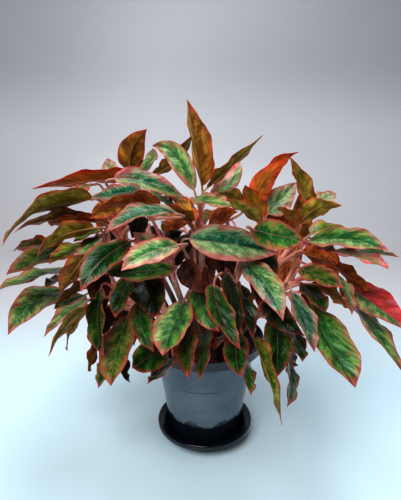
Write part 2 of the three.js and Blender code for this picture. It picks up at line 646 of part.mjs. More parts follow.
// A cane with all its leaves, fused into one solid.
function leafyStem(stem, cane) {
  const shoot = [V(...cane.foot, SOIL.holeFloor + GAP), ...sampled(caneCurve(cane), 3)];
  const radii = shoot.map((p, i) => CANE.foot + (CANE.top - CANE.foot) * Math.max(i - 1, 0) / 3);
  let solid = tube(shoot, radii, CANE.sides);
  const leaves = Object.entries(cane.leaves).map(([id, row]) => {
    const inner = id.startsWith('I');
    let rings = row[6] < 24 ? RINGS.light : RINGS.full;
    if (inner || row[6] < 12) rings = RINGS.least;
    return { id, inner, rings, make: (slide) => leafFromRow(row, slide) };
  });
  if (cane.heading)
    for (const back of backLeaves(cane)) {
      leaves.push({
        id: 'back', inner: true, rings: RINGS.least,
        make: (slide) => {
          const [base, middle, tip] = [back.base, back.middle, back.tip]
            .map((p) => p.clone().add(V(0, slide, 0)));
          return leafOf({ ...back, base, middle, tip });
        },
      });
    }
  const layout = [];
  leaves.forEach(({ id, inner, rings, make }, place) => {
    const phased = (slide) => Object.assign(make(slide), { phase: 2.4 * place });
    const { leaf, room, steps } = settled(stem, cane, place, inner, phased);
    if (inner && room < 0) return; // no room for it here
    solid = solid.add(leafSolid(leaf, sampled(stalkCurve(cane, place, leaf), inner ? 2 : 3), rings));
    layout.push({ id, room, steps, width: leaf.width, rib: sampled(leaf.rib, 4).map((p) => p.toArray()) });
  });
  return { solid, layout };
}

// Soil, filling the pot to below its collar, with a plain hole for each cane
const soilRadius = (z) => potRadius(z) - POT.wall - GAP - 0.5;
const soilProfile = [
  [0, POT.floor + GAP], [soilRadius(POT.floor + 4) - 1, POT.floor + GAP], [soilRadius(SOIL.top), SOIL.top],
  [soilRadius(SOIL.top) - 18, SOIL.top + 3], [45, SOIL.top + SOIL.crown], [0, SOIL.top + SOIL.crown - 1],
];
const holeRadius = (CANE.foot + GAP + 0.2) / Math.cos(Math.PI / 6);
let soil = solidOf(turned(soilProfile, 24));
for (const { foot: [x, y] } of Object.values(CANES))
  soil = soil.subtract(drill(x, y, SOIL.holeFloor, SOIL.top + 40, holeRadius, 6));

// The scene: one named mesh for each piece
const group = new THREE.Group();
function add(name, geometry, color, roughness) {
  const material = new THREE.MeshStandardMaterial({ color, roughness, metalness: 0 });
  const mesh = new THREE.Mesh(geometry, material);
  mesh.name = name;
  group.add(mesh);
  return mesh;
}

add('saucer', geometryOf(solidOf(turned(saucerProfile, ROUND))), 0x0d1013, 0.25);
add('pot', geometryOf(pot), 0x3d4750, 0.35);
add('soil', geometryOf(soil), 0x2b2019, 0.95);
for (const [stem, cane] of Object.entries(CANES)) {
  const { solid, layout } = leafyStem(stem, cane);
  add(stem, geometryOf(solid), 0x3f7a35, 0.45).userData.leaves = layout;
}

export default group;
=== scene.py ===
# %% [markdown]
# # A potted chinese evergreen
#
# This lesson finishes the look of a bushy house plant: a chinese evergreen, Aglaonema, of the
# red-edged kind, in its dark nursery pot on a saucer. The shape is already there as a coarse model
# of plain facets, one solid for each leafy stem. Here each stem gets real blades, midribs, stalks
# and a cane, each surface gets a material made of nodes, and a soft studio is built round it.
#
# Blender works in metres, and a plant is easier to think of in millimetres, so all shapes below are
# worked out in millimetres and scaled once, when a mesh is made.

import math
from functools import partial

import bpy
import numpy as np
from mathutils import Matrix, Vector
from mathutils.kdtree import KDTree


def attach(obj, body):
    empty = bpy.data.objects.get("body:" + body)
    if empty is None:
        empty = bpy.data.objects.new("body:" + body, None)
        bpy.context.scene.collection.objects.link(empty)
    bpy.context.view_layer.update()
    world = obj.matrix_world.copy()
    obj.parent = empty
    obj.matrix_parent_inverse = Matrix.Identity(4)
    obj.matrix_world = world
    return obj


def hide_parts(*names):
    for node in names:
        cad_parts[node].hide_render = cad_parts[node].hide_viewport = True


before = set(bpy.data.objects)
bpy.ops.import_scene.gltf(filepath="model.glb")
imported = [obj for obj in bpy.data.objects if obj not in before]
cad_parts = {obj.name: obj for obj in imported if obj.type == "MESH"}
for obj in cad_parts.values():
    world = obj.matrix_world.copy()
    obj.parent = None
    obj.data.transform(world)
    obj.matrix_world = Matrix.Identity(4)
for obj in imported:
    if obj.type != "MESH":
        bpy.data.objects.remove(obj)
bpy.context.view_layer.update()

MM = 0.001  # one millimetre in metres

# %% [markdown]
# ## The stems and their leaves
#
# A plant like this has no two leaves alike. They could be scattered by a rule, but then the bush
# would be any bush, so the leaves are laid out one by one, just as they look from the camera, in a
# picture that is 401 wide and 500 high. A row says where the base, the middle and the tip of a leaf's
# midrib are seen, how wide the leaf looks, which face it shows (1 upper, -1 under), how far its base
# lies behind the pot's axis in millimetres, and whether its tip comes nearer (1) or goes away (-1).
# Some rows go on with the real length, or 0 for the usual one, and the fold along the midrib in
# radians. Leaves whose name starts with I are inner ones, deep in the plant.
#
# A stem has a cane, from its foot in the soil to its top, in millimetres. One with a heading, in
# degrees round the axis, gets more leaves on the far side.

# %% Lay out the stems
CANES = {}


def lay_out(stem, foot, top, heading=None, **leaves):
    """Notes the cane of a stem and the rows of its leaves."""
    CANES[stem] = {"foot": foot, "top": top, "heading": heading, "leaves": leaves}


lay_out(
    "stem_centre_top", foot=(-4, 22), top=(-8, 14, 496),
    A5=("brown|olive", 202, 186, 195.5, 143, 187, 99.5, 24, -1, 5, 1, 0, 0.5),
    A6=("olive", 207, 188, 232.5, 165.5, 263, 135, 10, -1, 0, 1),
    A3=("light", 194, 190, 175.5, 155, 152, 146, 23, 1, -10, -1, 0, 0.4),
    A4=("olive", 151, 175, 173, 162, 194.5, 132, 12, -1, 50, 1),
    A7=("rosy|light", 210, 198, 230, 181, 240, 160, 19, 1, -22, -1),
    V2=("sage", 194, 198, 212, 202, 243, 208, 13, 1, -45, 1),
    A8=("olive", 242, 206, 228, 195, 213, 198, 12, -1, -25, 1, 80),
    V1=("orange", 193, 222, 183, 204, 168, 191, 14, 1, -40, -1, 95),
    V3=("sage", 172, 208, 160, 198, 148, 190, 9, 1, -20, -1, 80),
    V4=("brown", 190, 222, 180, 212, 165, 204, 10, -1, -48, 1, 80),
    I19=("maroon", 208, 228, 220, 217, 238, 212, 18, 1, 30, 1),
    I36=("maroon", 190, 215, 177, 222, 164, 232, 20, 1, 10, 1),
)
lay_out(
    "stem_left_top", foot=(-38, 46), top=(-132, 34, 500),
    A1=("brown", 132, 173, 131.5, 151, 147, 129, 27, -1, 45, 1, 116),
    A2=("sage", 142, 173, 150, 161, 153, 148, 13, 1, 60, -1, 100),
    H4=("wing|sage", 114, 179, 149, 183, 188, 200, 21, 1, -60, -1),
    H7=("pale", 114, 183, 111, 170, 108, 158, 18, 1, 60, -1, 95),
    I38=("maroon", 118, 211, 107, 220, 97, 228, 18, 1, 40, 1),
)
lay_out(
    "stem_left", foot=(-66, 18), top=(-186, -8, 490),
    H5=("rust", 136, 177, 89, 180.5, 32, 189, 14.5, -1, -15, -1, 195),
    H9=("rosy", 95, 184, 82, 190, 75, 204, 12, 1, -5, 1, 75),
    H3=("teal", 142, 192, 113, 194, 86, 200, 15, 1, -15, -1),
    L1=("olive", 92, 199, 38, 210.5, 2.5, 246, 14.5, -1, -40, 1),
    H2=("maroon", 160, 205, 130, 202, 97, 208, 17, -1, -20, 1),
    H1=("teal", 178, 214, 140, 213, 105, 234, 17, 1, -75, 1),
    L2=("brown", 96, 222, 50, 219.5, 14, 233, 12, -1, -10, 1),
    L3=("maroon", 95, 220, 69, 222.5, 47, 221.5, 13, -1, -30, 1),
    I14=("brown", 122, 204, 106, 210, 90, 219, 20, 1, 0, 1, 105),
    I33=("deep", 106, 199, 94, 205, 83, 213, 18, 1, 30, 1),
)
lay_out(
    "stem_left_middle", foot=(-74, -14), top=(-184, -24, 428),
    L8=("green", 96, 228, 86, 236, 73, 242, 10, 1, -75, 1, 70),
    L4=("olive", 94, 228, 60, 236.5, 37, 257, 17, -1, -60, 1),
    L9=("sage", 96, 236, 88, 250, 74, 257, 15, 1, -90, 1, 90),
    L7=("moss", 92, 244, 68, 252, 49, 264, 16, 1, -80, 1),
    L6=("bronze", 52, 245, 29, 245, 13, 251, 13, -1, 0, 1, 110),
    L5=("mottled", 66, 249, 37, 258, 6, 275, 22, 1, -50, 1),
    M1=("sage", 64, 268, 31, 278, -5, 291, 12, 1, -20, 1),
    M2=("sage", 68, 277, 57, 281, 45, 287, 10, 1, -10, 1, 90),
    I4=("shade", 101, 258, 101, 288, 101, 320, 26, 1, 10, 1),
)
lay_out(
    "stem_left_low", foot=(-62, -46), top=(-170, -66, 372),
    M3=("brown", 86, 254, 72.5, 273, 60, 294, 22, -1, -90, -1),
    M9=("bronze", 85, 284, 72, 292, 58, 299, 12, -1, -60, 1, 90),
    M8=("sage", 85, 295, 68, 303, 54, 309, 14, 1, -50, 1, 95),
    M4=("light", 64, 291, 33, 303, 8, 335, 31, 1, -20, 1),
    N1=("dark", 101, 288, 97.5, 322, 104, 356, 20, 1, -110, 1),
    M5=("sage", 93, 299, 69.5, 311, 44, 337, 12, 1, -80, 1),
    M6=("olive", 89, 309, 69, 322, 48.5, 357, 13, -1, -70, 1),
    N6=("deep", 118, 304, 110, 320, 101, 336, 20, 1, -60, 1, 90),
    M7=("olive", 84, 315, 70, 333, 68, 351, 7, -1, -40, 1, 100),
    N3=("green", 110, 352, 106, 371, 98, 388, 18, 1, -80, 1, 95),
    N2=("brown", 101, 340, 93, 357, 88, 371.5, 12, -1, -100, 1, 90),
)
lay_out(
    "stem_front_left", foot=(-26, -40), top=(-68, -62, 424),
    V5=("deep", 140, 208, 138, 222, 132, 238, 24, -1, -25, 1, 95),
    V6=("dark", 165, 222, 170, 233, 168, 249, 19, 1, -75, 1, 90),
    G1=("pale|light", 179, 245, 146, 254, 121, 271, 27, 1, -176, 1),
    G3=("dark", 130, 242, 100, 262, 81, 292, 30, 1, -90, 1),
    G2=("green", 173, 267, 135, 272, 100, 272, 24, 1, -110, 1),
    G1b=("rosy|pale", 167, 255, 149, 246, 133, 232, 26, 1, -144, 1, 100),
)
lay_out(
    "stem_front_left_low", foot=(-45, -60), top=(-84, -84, 352),
    O2=("dark", 127, 276, 121, 298, 115, 318, 22, 1, -100, 1, 110),
    O1=("deep", 138, 270, 150, 296, 154, 318, 37, 1, -90, 1),
    O3=("green", 140, 303, 142, 330, 154, 352, 24, 1, -110, 1),
    N4=("mottled", 128, 316, 116, 354, 111, 386, 35, 1, -110, 1),
    N5=("deep", 124, 342, 120.5, 366, 131, 383, 14, 1, -95, 1, 100),
    O5=("dark", 167, 345, 145, 359.5, 132, 368, 35, 1, -125, 1),
    O6=("dark", 172, 360, 160, 374, 147, 384, 12, 1, -128, 1, 90),
)
lay_out(
    "stem_front", foot=(-8, -70), top=(-18, -66, 388),
    F1=("teal|pale", 189, 239, 235, 245, 279, 254, 37, 1, -130, -1, 185),
    P3=("shade", 186, 260, 191, 278, 203, 293, 26, 1, -95, 1, 100),
    P5=("shade", 207, 268, 211, 289, 213, 308, 20, 1, -100, 1, 100),
    O4=("green|light", 184, 301, 171, 331, 163, 356, 38, 1, -140, 1, 160),
    P4=("green", 199, 285, 203, 310.5, 220, 332, 30, 1, -120, 1),
    P1=("mottled", 190, 320, 187, 350, 189, 378, 26, 1, -150, 1),
    P2=("dark", 206, 328, 205, 355, 199, 381, 16, 1, -140, 1),
    I15=("deep", 188, 234, 181, 252, 174, 270, 20, 1, -40, 1, 100),
    I7=("maroon", 214, 296, 210, 322, 214, 348, 24, 1, -60, 1),
)
lay_out(
    "stem_front_right", foot=(28, -62), top=(60, -56, 372),
    F2=("light|teal", 243, 262, 267, 286, 283, 321, 31, 1, -120, 1),
    P6=("dark", 214, 285, 221, 317, 241, 350, 25, 1, -145, 1),
    P7=("deep", 226, 272, 232, 302, 238, 338, 20, 1, -120, 1),
    P8=("deep", 240, 284, 246, 310, 254, 338, 20, 1, -110, 1),
    P11=("rosy", 228, 332, 220, 343, 214, 349, 8, 1, -130, 1, 60),
    P9=("dark", 238, 333, 236, 356, 241, 377, 30, 1, -150, 1),
    Q3=("moss", 254, 340, 268.5, 377, 282, 426, 14, -1, -130, 1),
    P10=("green", 245, 356, 246.5, 374, 251, 396, 14, 1, -145, 1),
    I6=("shade", 226, 226, 224, 256, 228, 290, 28, 1, -10, 1),
)
lay_out(
    "stem_right_top", foot=(30, 10), top=(104, -10, 482),
    C1=("rust", 259, 207, 263, 182.5, 290, 158, 23, -1, -10, 1),
    C1b=("rust", 262, 200, 274.5, 169, 299, 152, 15, -1, 20, 1),
    V8=("orange", 262, 218, 253, 200, 245, 185, 19, -1, 10, 1, 105),
    C3=("pale", 268, 214, 280, 200, 297, 182, 27, 1, -45, -1),
    A9=("olive", 258, 222, 243, 209, 226, 198, 14, -1, -40, 1),
    E1=("green", 254, 230, 279, 236, 306, 242, 33, 1, -140, 1),
    I17=("maroon", 292, 236, 278, 222, 262, 210, 22, 1, 20, 1),
)
lay_out(
    "stem_right", foot=(66, 16), top=(184, 4, 458),
    C2=("olive", 307, 204, 302.5, 183, 289, 156, 16, -1, 25, 1),
    C4=("pale", 312, 208, 325, 198, 336, 193, 17, 1, 50, -1, 95),
    C5=("olive", 299, 224, 317, 208, 342, 206, 20, -1, -20, 1),
    C7=("orange", 297, 224, 288, 213, 278, 207, 12, -1, -25, 1, 80),
    D2=("moss", 311, 234, 330, 228, 358, 236, 11, 1, -10, -1),
    D1=("green|light", 308, 241, 347, 239.5, 389, 251, 23, 1, -50, 1),
    D1b=("dark", 335, 250, 370, 253, 399, 257, 6, 1, -10, 1),
    T1=("rosy", 303, 243, 320, 247, 337, 252, 10, 1, -60, 1, 80),
    D4=("rosy", 333, 251, 366, 259, 388.5, 269, 11, 1, -60, 1),
    I18=("brown", 306, 240, 301, 216, 300, 192, 20, 1, 10, 1),
)
lay_out(
    "stem_right_middle", foot=(73, -18), top=(172, -38, 388),
    S3=("maroon", 335, 266, 352, 278, 373, 291, 16, -1, -30, 1),
    S5=("maroon", 303, 253, 319.5, 258, 338, 262, 17, -1, -75, 1, 90),
    S6=("mottled", 301, 268, 321.5, 277.5, 344, 288, 22, 1, -95, 1),
    S2=("red|sage", 344, 284, 373, 303, 410, 332, 34, 1, -60, 1),
    S7=("pale", 333, 272, 345, 290, 352, 315, 13, 1, -60, 1),
    S8=("brown", 318, 286, 334, 295.5, 349, 309, 14, -1, -70, 1, 100),
    I12=("deep", 314, 244, 328, 257, 342, 268, 22, 1, 30, 1),
)
lay_out(
    "stem_right_low", foot=(56, -50), top=(148, -80, 378),
    R3=("dark", 303, 284, 316, 299, 326, 312, 19, 1, -90, 1, 100),
    R1=("teal", 292, 291, 304, 320, 314.5, 352, 22, 1, -165, 1),
    R2=("green", 302, 300, 330, 344, 355.5, 388, 41, 1, -120, 1),
    S1=("light", 354, 306, 373, 329.5, 406, 376, 18, 1, -100, 1, 185),
    Q1=("deep", 268, 296, 279, 316, 305, 336, 28, 1, -120, 1),
    Q5=("dark", 296, 328, 297, 347, 303, 362, 17, 1, -120, 1, 100),
    Q2=("dark", 275, 316, 277.5, 348, 275.5, 379, 32, 1, -150, 1),
    Q4=("teal", 288, 358, 291, 382, 287, 407, 13, 1, -120, 1, 110),
    Q6=("dark", 291, 346, 290, 358, 294, 368, 9, 1, -110, 1, 70),
    I9=("deep", 270, 250, 262, 278, 258, 306, 30, 1, -20, 1),
    I34=("shade", 264, 298, 262, 318, 259, 338, 20, 1, -60, 1),
)
lay_out(
    "stem_back_left", foot=(-52, 54), top=(-120, 92, 400), heading=132,
    I21=("deep", 118, 222, 112, 250, 106, 284, 28, 1, 60, 1),
    I22=("shade", 150, 226, 156, 254, 160, 288, 28, 1, 60, 1),
    I27=("deep", 126, 292, 130, 318, 134, 346, 26, 1, 20, 1),
)
lay_out(
    "stem_back", foot=(-8, 74), top=(-26, 122, 426), heading=96,
    I23=("shade", 196, 226, 203, 256, 212, 288, 30, 1, 60, 1),
)
lay_out(
    "stem_back_right", foot=(38, 66), top=(84, 106, 418), heading=62,
    I25=("maroon", 292, 236, 288, 262, 284, 294, 28, 1, 60, 1),
)
lay_out(
    "stem_far_right", foot=(62, 43), top=(170, 70, 392),
    I31=("maroon", 314, 240, 327, 258, 338, 282, 24, 1, 76, 1),
    I32=("shade", 318, 282, 310, 304, 306, 330, 24, 1, 0, 1),
)
print("stems:", len(CANES), "- rows of leaves:", sum(len(cane["leaves"]) for cane in CANES.values()))

# %% [markdown]
# ## Kinds of leaf colour
#
# An upper face is green with paler feathers between the side veins, a pink rib and a red margin. An
# under face is olive to maroon. Each kind has the colour of the ground, of the feathers, of the
# margin and of the rib, then the share of the face that the feathers cover, the width of the
# margin's line and of its haze in millimetres, and the share of the length where the tip's haze
# begins, or, if that is below 0, how far a haze reaches from the base instead. A leaf gets its kind
# for the face that is seen, or two kinds for its two halves, and a common one for the other face.
# Naming kinds keeps the colours few enough to match each with the real plant.
#
# Colours are written as they look on a screen, as hex. Shaders calculate with light, so one function
# turns them into linear values.

# %% Kinds of leaf colour
KINDS = {
    # Painted shade: shade and deep are darker copies of the leaf colours, for leaves that stand in the
    # shade deep inside the plant.
    "shade": ("#26100a", "#4c2616", "#4c1212", "#522620", 0.45, 1.0, 2.5, 0.86),
    "deep": ("#061c0a", "#1b4216", "#741820", "#5a2c24", 0.35, 1.0, 3.0, 0.86),
    "dark": ("#0a300e", "#2c6420", "#942028", "#8c5044", 0.40, 1.0, 3.0, 0.84),
    "green": ("#145022", "#628a3a", "#a0242e", "#9e6658", 0.44, 1.0, 4.0, 0.84),
    "teal": ("#124c34", "#6a9468", "#a0343c", "#9a7064", 0.48, 1.0, 6.0, 0.82),
    "light": ("#2a6a36", "#96ac68", "#a8343c", "#a87062", 0.50, 1.0, 5.5, 0.80),
    "pale": ("#4e784a", "#9ca874", "#a8424a", "#ac7264", 0.56, 1.1, 8.0, 0.74),
    "wing": ("#1c603c", "#7e9a6c", "#b03c4a", "#a6746a", 0.48, 1.3, 7.0, -0.42),
    "sage": ("#2e6234", "#8c9458", "#963236", "#946c5a", 0.50, 1.0, 6.0, 0.80),
    "moss": ("#40601a", "#90903a", "#962c28", "#906846", 0.52, 1.0, 6.0, 0.80),
    "mottled": ("#1e501a", "#7c6c34", "#92282a", "#90604a", 0.50, 1.0, 5.0, 0.80),
    "bronze": ("#68641c", "#a87e3a", "#c43028", "#96602e", 0.55, 1.1, 6.0, 0.72),
    "rosy": ("#82925a", "#c48872", "#ae2a36", "#ba7066", 0.60, 1.4, 9.0, 0.62),
    "red": ("#86302e", "#aa3432", "#b41c28", "#a05044", 0.60, 1.3, 9.0, 0.60),
    "olive": ("#8c7c26", "#c8aa4e", "#d04028", "#b07a44", 0.50, 1.1, 4.5, 0.82),
    "brown": ("#7a4816", "#b07e34", "#c43426", "#98602f", 0.52, 1.1, 4.5, 0.80),
    "orange": ("#b4761c", "#b89234", "#e23c1c", "#b06c3c", 0.50, 1.3, 6.0, 0.74),
    "maroon": ("#8c3e16", "#b86e34", "#c03a22", "#8c4a2c", 0.50, 1.0, 4.5, 0.84),
    # Rust is partly the leaf's own orange and partly painted light: the glow of an under face that light
    # shines through.
    "rust": ("#c07c2c", "#d8783c", "#f42e1e", "#c06030", 0.55, 1.6, 8.0, 0.5),
}
OTHER_FACE = {1: ("olive", "brown", "orange"), -1: ("green", "dark", "sage")}  # by the seen face
FAR_KINDS = ("dark", "green", "mottled", "green")  # of the far side's leaves


def paint(hex_colour, strength=1.0):
    """A screen colour such as "#3f7a35" as linear red, green, blue and alpha."""
    screen = [int(hex_colour[i : i + 2], 16) / 255 for i in (1, 3, 5)]
    linear = [v / 12.92 if v <= 0.04045 else ((v + 0.055) / 1.055) ** 2.4 for v in screen]
    return (*(v * strength for v in linear), 1.0)


print("kinds of leaf colour:", len(KINDS), "- the linear value of #808080:", round(paint("#808080")[0], 3))

# %% [markdown]
# ## From the picture into space
#
# A place in the picture is a ray from the camera. With a distance it becomes a point, and with the
# real length of the leaf the ray gives its tip: either the near or the far point at that length.

# %% Rays from the camera
EYE = np.array([-9.5, -845.0, 654.0])  # the camera, in mm
FOCAL = 430.0  # its focal length, in pixels of the picture
CENTRE = (200.5, 250.0)  # the pixel that it looks at
LONG_SIDE = 500  # pixels, of the picture
PITCH = math.radians(15.1)  # it looks down by this much


def unit(v):
    """The vector, or each row of vectors, at length 1."""
    return v / np.linalg.norm(v, axis=-1, keepdims=True)


def seen(px, py, y):
    """The point that is seen at px, py, at y mm behind the pot's axis."""
    across = (px - CENTRE[0]) / FOCAL
    down = (py - CENTRE[1]) / FOCAL
    away = (y - EYE[1]) / (math.cos(PITCH) - down * math.sin(PITCH))
    height = EYE[2] - away * (math.sin(PITCH) + down * math.cos(PITCH))
    return np.array([EYE[0] + across * away, y, height])


def reached(px, py, start, length, reach):
    """The point on the ray through px, py that is a length away from start."""
    ray = unit(seen(px, py, 0) - EYE)
    along = (start - EYE) @ ray
    off = np.linalg.norm(EYE + along * ray - start)
    return EYE + ray * (along - reach * math.sqrt(max(length**2 - off**2, 0)))


print("the middle of the picture shows, as deep as the pot's axis, the point", seen(*CENTRE, 0).round(1))

# %% [markdown]
# ## A leaf from its row
#
# A real blade of this plant is about a third as wide as long, however narrow it looks from the side.
# So its length gives its width, and how narrow it looks says how far its face is turned away from
# the camera. Its midrib is a curve through three points that arches towards the upper face.

# %% A leaf from its row
LEAST_LENGTH = 118  # mm, where a row gives no length
FORESHORTENED = 1.06  # how much longer a blade is than it looks
RATIO, LEAST_WIDTH, MOST_WIDTH = 0.37, 42, 76  # width to length, and its limits in mm
FOLD = 0.2  # radians, of each half above flat
WAVE, WAVES = 3.4, 15  # mm, of the margins, and radians of waves along the midrib
ARCH = 0.03  # least rise of the midrib's middle, as a share of the length
MOST_LIFT, MOST_SHIFT = 0.3, 0.2  # how far it is moved at most, as shares of the length
LEAST_SHOWN = 0.16  # share of its width that a blade shows at least


def leaf_of(base, middle, tip, width, show=None, fold=FOLD):
    """A leaf: three points of its midrib's curve, its width, its fold and where its face looks."""
    along = unit(tip - base)
    if show is None:
        face = unit(np.array([0, 0, 1]) - along * along[2])
    else:
        eye = unit(EYE - middle)
        to = unit(eye - along * (eye @ along))
        across = np.cross(along, to)
        side = 1 if across[2] >= 0 else -1
        face = to * show + across * side * math.sqrt(1 - show * show)
    bend = 2 * middle - 0.5 * base - 0.5 * tip
    return {"curve": (base, bend, tip), "chord": along, "face": face, "width": width, "fold": fold}


def leaf_from_row(row, slide):
    """The leaf of a row, moved back by some mm."""
    bx, by, mx, my, tx, ty, seen_width, face, y, reach, *more = row
    long, fold = (*more, 0, 0)[:2]
    base = seen(bx, by, y + slide)
    flat = np.linalg.norm(seen(tx, ty, y + slide) - base)
    length = long or max(FORESHORTENED * flat, LEAST_LENGTH)
    tip = reached(tx, ty, base, length, reach)
    halfway = (base[1] + tip[1]) / 2
    wide = seen_width * (halfway - EYE[1]) / FOCAL
    width = max(RATIO * length, LEAST_WIDTH, min(wide, MOST_WIDTH))
    show = face * min(max(wide / width, LEAST_SHOWN), 1)

    def bent(y):
        return leaf_of(base, seen(mx, my, y), tip, width, show, fold or FOLD)

    # The midrib arches towards the upper face: where it would sag, its middle moves along its ray.
    plain = bent(halfway)
    bulge = (plain["curve"][1] - (base + tip) / 2) / 2
    lack = min(ARCH * length - bulge @ plain["face"], MOST_LIFT * length)
    if lack <= 0:
        return plain
    return bent(halfway - math.copysign(min(lack / abs(show), MOST_SHIFT * length), show))


sample = leaf_from_row(CANES["stem_left"]["leaves"]["L1"][1:], 0)
print("leaf L1 is", round(np.linalg.norm(sample["curve"][2] - sample["curve"][0])), "mm long")

# %% [markdown]
# ## The far side of the plant
#
# The picture doesn't show the back, but a plant grows all round. Its leaves there are spread by a
# rule round a heading, with a small random number generator of our own, so that they are the same in
# every run, and the same as in the coarse model.

# %% Leaves of the far side
BACK = {"leaves": 4, "spread": 96, "scatter": 14, "stalk": 88, "blade": 132}  # degrees and mm
LIFTS = (-4, 22)  # degrees that the stalks climb, in turn
DROOP = 0.8  # radians that a blade bends down from its stalk
HUMP = 0.13  # rise of the blade's middle, as a share of its length
state = 20260


def draw():
    """The next random number from 0 to 1."""
    global state
    state = (state * 1664525 + 1013904223) % 4294967296
    return state / 4294967296


def back_leaves(top, heading):
    """The base, middle, tip and length of the leaves that spread round a heading."""
    made = []
    for i in range(BACK["leaves"]):
        share = i / (BACK["leaves"] - 1) - 0.5
        turn = math.radians(heading + share * BACK["spread"] + BACK["scatter"] * (draw() - 0.5))
        lift = math.radians(LIFTS[i % 2])
        stalk = BACK["stalk"] * (0.85 + 0.3 * draw())
        length = BACK["blade"] * (0.88 + 0.24 * draw())

        def climb(start, by, angle, turn=turn):
            level = by * math.cos(angle)
            rise = by * math.sin(angle)
            return start + np.array([level * math.cos(turn), level * math.sin(turn), rise])

        base = climb(np.array(top, float), stalk, lift)
        tip = climb(base, length, lift - DROOP)
        middle = (base + tip) / 2 + np.array([0, 0, HUMP * length])
        made.append((base, middle, tip, length))
    return made


print("each stem with a heading gets", BACK["leaves"], "more leaves")

# %% [markdown]
# ## The surface of a blade
#
# t runs along the midrib from 0 to 1, and u across the blade from -1 at one margin to 1 at the
# other. The outline is widest a third of the way along, as on the real leaf. The halves rise from
# the rib by the fold, and the margins wave a little.

# %% The surface of a blade
BASE_POWER, TIP_POWER = 0.62, 0.98  # how full the outline is towards the base and the tip
PEAK = 0.3442  # the greatest value that they give


def outline(t):
    """Half the width at a share t of the length, 1 at the widest."""
    return t**BASE_POWER * (1 - t) ** TIP_POWER / PEAK


def stations(leaf, t):
    """For an array t: points of the midrib, its direction, the upper face and the side.

    The face turns with the midrib, from how it lies on the straight line from base to tip.
    """
    base, bend, tip = leaf["curve"]
    t = np.asarray(t, float)[:, None]
    point = (1 - t) ** 2 * base + 2 * t * (1 - t) * bend + t**2 * tip
    along = unit(2 * (1 - t) * (bend - base) + 2 * t * (tip - bend))
    axis = np.cross(leaf["chord"], along)
    turned_face = leaf["face"] + np.cross(axis, leaf["face"])
    rest = np.cross(axis, np.cross(axis, leaf["face"]))
    face = turned_face + rest / (1 + along @ leaf["chord"])[:, None]
    return point, along, face, np.cross(along, face)


def plain_blade(leaf, t, u):
    """Points of the coarse blade at the pairs t, u, with the upper face there."""
    point, _, face, side = stations(leaf, t)
    half = leaf["width"] / 2 * outline(t) * np.abs(u)
    wave = WAVE * np.sin(WAVES * t + leaf["phase"] + 0.9 * np.sign(u)) * outline(t) * u * u
    across = np.sign(u) * half * math.cos(leaf["fold"])
    rise = half * math.sin(leaf["fold"]) + wave
    return point + side * across[:, None] + face * rise[:, None], face


print("share of the full width at 0.33, 0.5 and 0.9:", outline(np.array([0.33, 0.5, 0.9])).round(2))

# %% [markdown]
# ## Canes and stalks
#
# A cane stands upright in the soil, leans out and straightens again, and its stalks spring from its
# upper end, each a little lower than the one before. Both bend like springy rods, so both are cubic
# Bezier curves, which need only two ends and the directions there.

# %% Curves of canes and stalks
SOIL_TOP, SOIL_CROWN, HOLE_FLOOR = 211, 5, 142  # heights in mm, and the rise of the soil's middle
ROOTS = 9  # mm of cane from one stalk to the next


def bezier(a, b, c, d):
    """A function that gives points and directions of a cubic Bezier curve."""

    def at(t):
        t = np.atleast_1d(np.asarray(t, float))[:, None]
        s = 1 - t
        point = s**3 * a + 3 * s * s * t * b + 3 * s * t * t * c + t**3 * d
        slope = 3 * s * s * (b - a) + 6 * s * t * (c - b) + 3 * t * t * (d - c)
        return point, unit(slope)

    return at


def cane_curve(cane):
    """The cane from just above the soil to its top."""
    ground = np.array([*cane["foot"], SOIL_TOP + SOIL_CROWN + 4], float)
    head = np.array(cane["top"], float)
    rise = head[2] - ground[2]
    up = np.array([0, 0, 1.0])
    lean = unit(unit(head - ground) * 0.65 + up * 0.35)
    return bezier(ground, ground + up * 0.36 * rise, head - lean * 0.34 * rise, head)


def stalk_curve(cane, place, leaf):
    """The stalk from the cane to the leaf's base, which it meets along the midrib."""
    share = 1 - min((place * ROOTS + 4) / (cane["top"][2] - SOIL_TOP), 0.62)
    (root,), (climb,) = cane_curve(cane)(share)
    (start,), (along,), _, _ = stations(leaf, [0])
    reach = np.linalg.norm(root - start)
    out = unit(unit(start - root) * 0.38 + climb * 0.62)
    return bezier(root, root + out * 0.42 * reach, start - along * 0.36 * reach, start)


lower_end, upper_end = cane_curve(CANES["stem_left"])([0, 1])[0].round()
print("the cane of stem_left climbs from", lower_end, "to", upper_end, "mm")

# %% [markdown]
# ## Finding every leaf's place in the coarse model
#
# In the coarse model each leaf slid along the line of sight, in steps of 8 mm, until it was clear of
# its neighbours, and an inner one that found no room was left out. The same step is found here by
# trial: the right one puts the leaf's corners on vertices of its coarse stem. That is quicker than
# testing every pair of leaves again, and it can't come out differently.

# %% The corners of a coarse blade
STEP, MOST = 8, 13  # mm, and how many steps a leaf slides at most
EDGE, ABOVE, BELOW = 0.9, 0.5, 1.1  # the coarse blade's thickness at the margin and at the rib
RINGS = {
    "full": (0.07, 0.22, 0.42, 0.63, 0.83),
    "light": (0.08, 0.3, 0.57, 0.8),
    "least": (0.1, 0.4, 0.72),
}  # where along the midrib it has corners
FULL_FROM, LIGHT_FROM = 24, 12  # how wide a leaf looks, in pixels, to get that many rings
NEAR = 0.05  # mm from a corner to its vertex
ENOUGH = 0.4  # share of the corners that have to fit


def corners(leaf, rings):
    """The corners of the coarse blade: six for each ring, and its tip."""
    t = np.repeat(rings, 6)
    u = np.tile([-1.0, 0.0, 1.0, 1.0, 0.0, -1.0], len(rings))
    lift = np.tile([EDGE / 2, ABOVE, EDGE / 2, -EDGE / 2, -BELOW, -EDGE / 2], len(rings))
    points, face = plain_blade(leaf, t, u)
    return np.vstack([points + face * lift[:, None], leaf["curve"][2]])


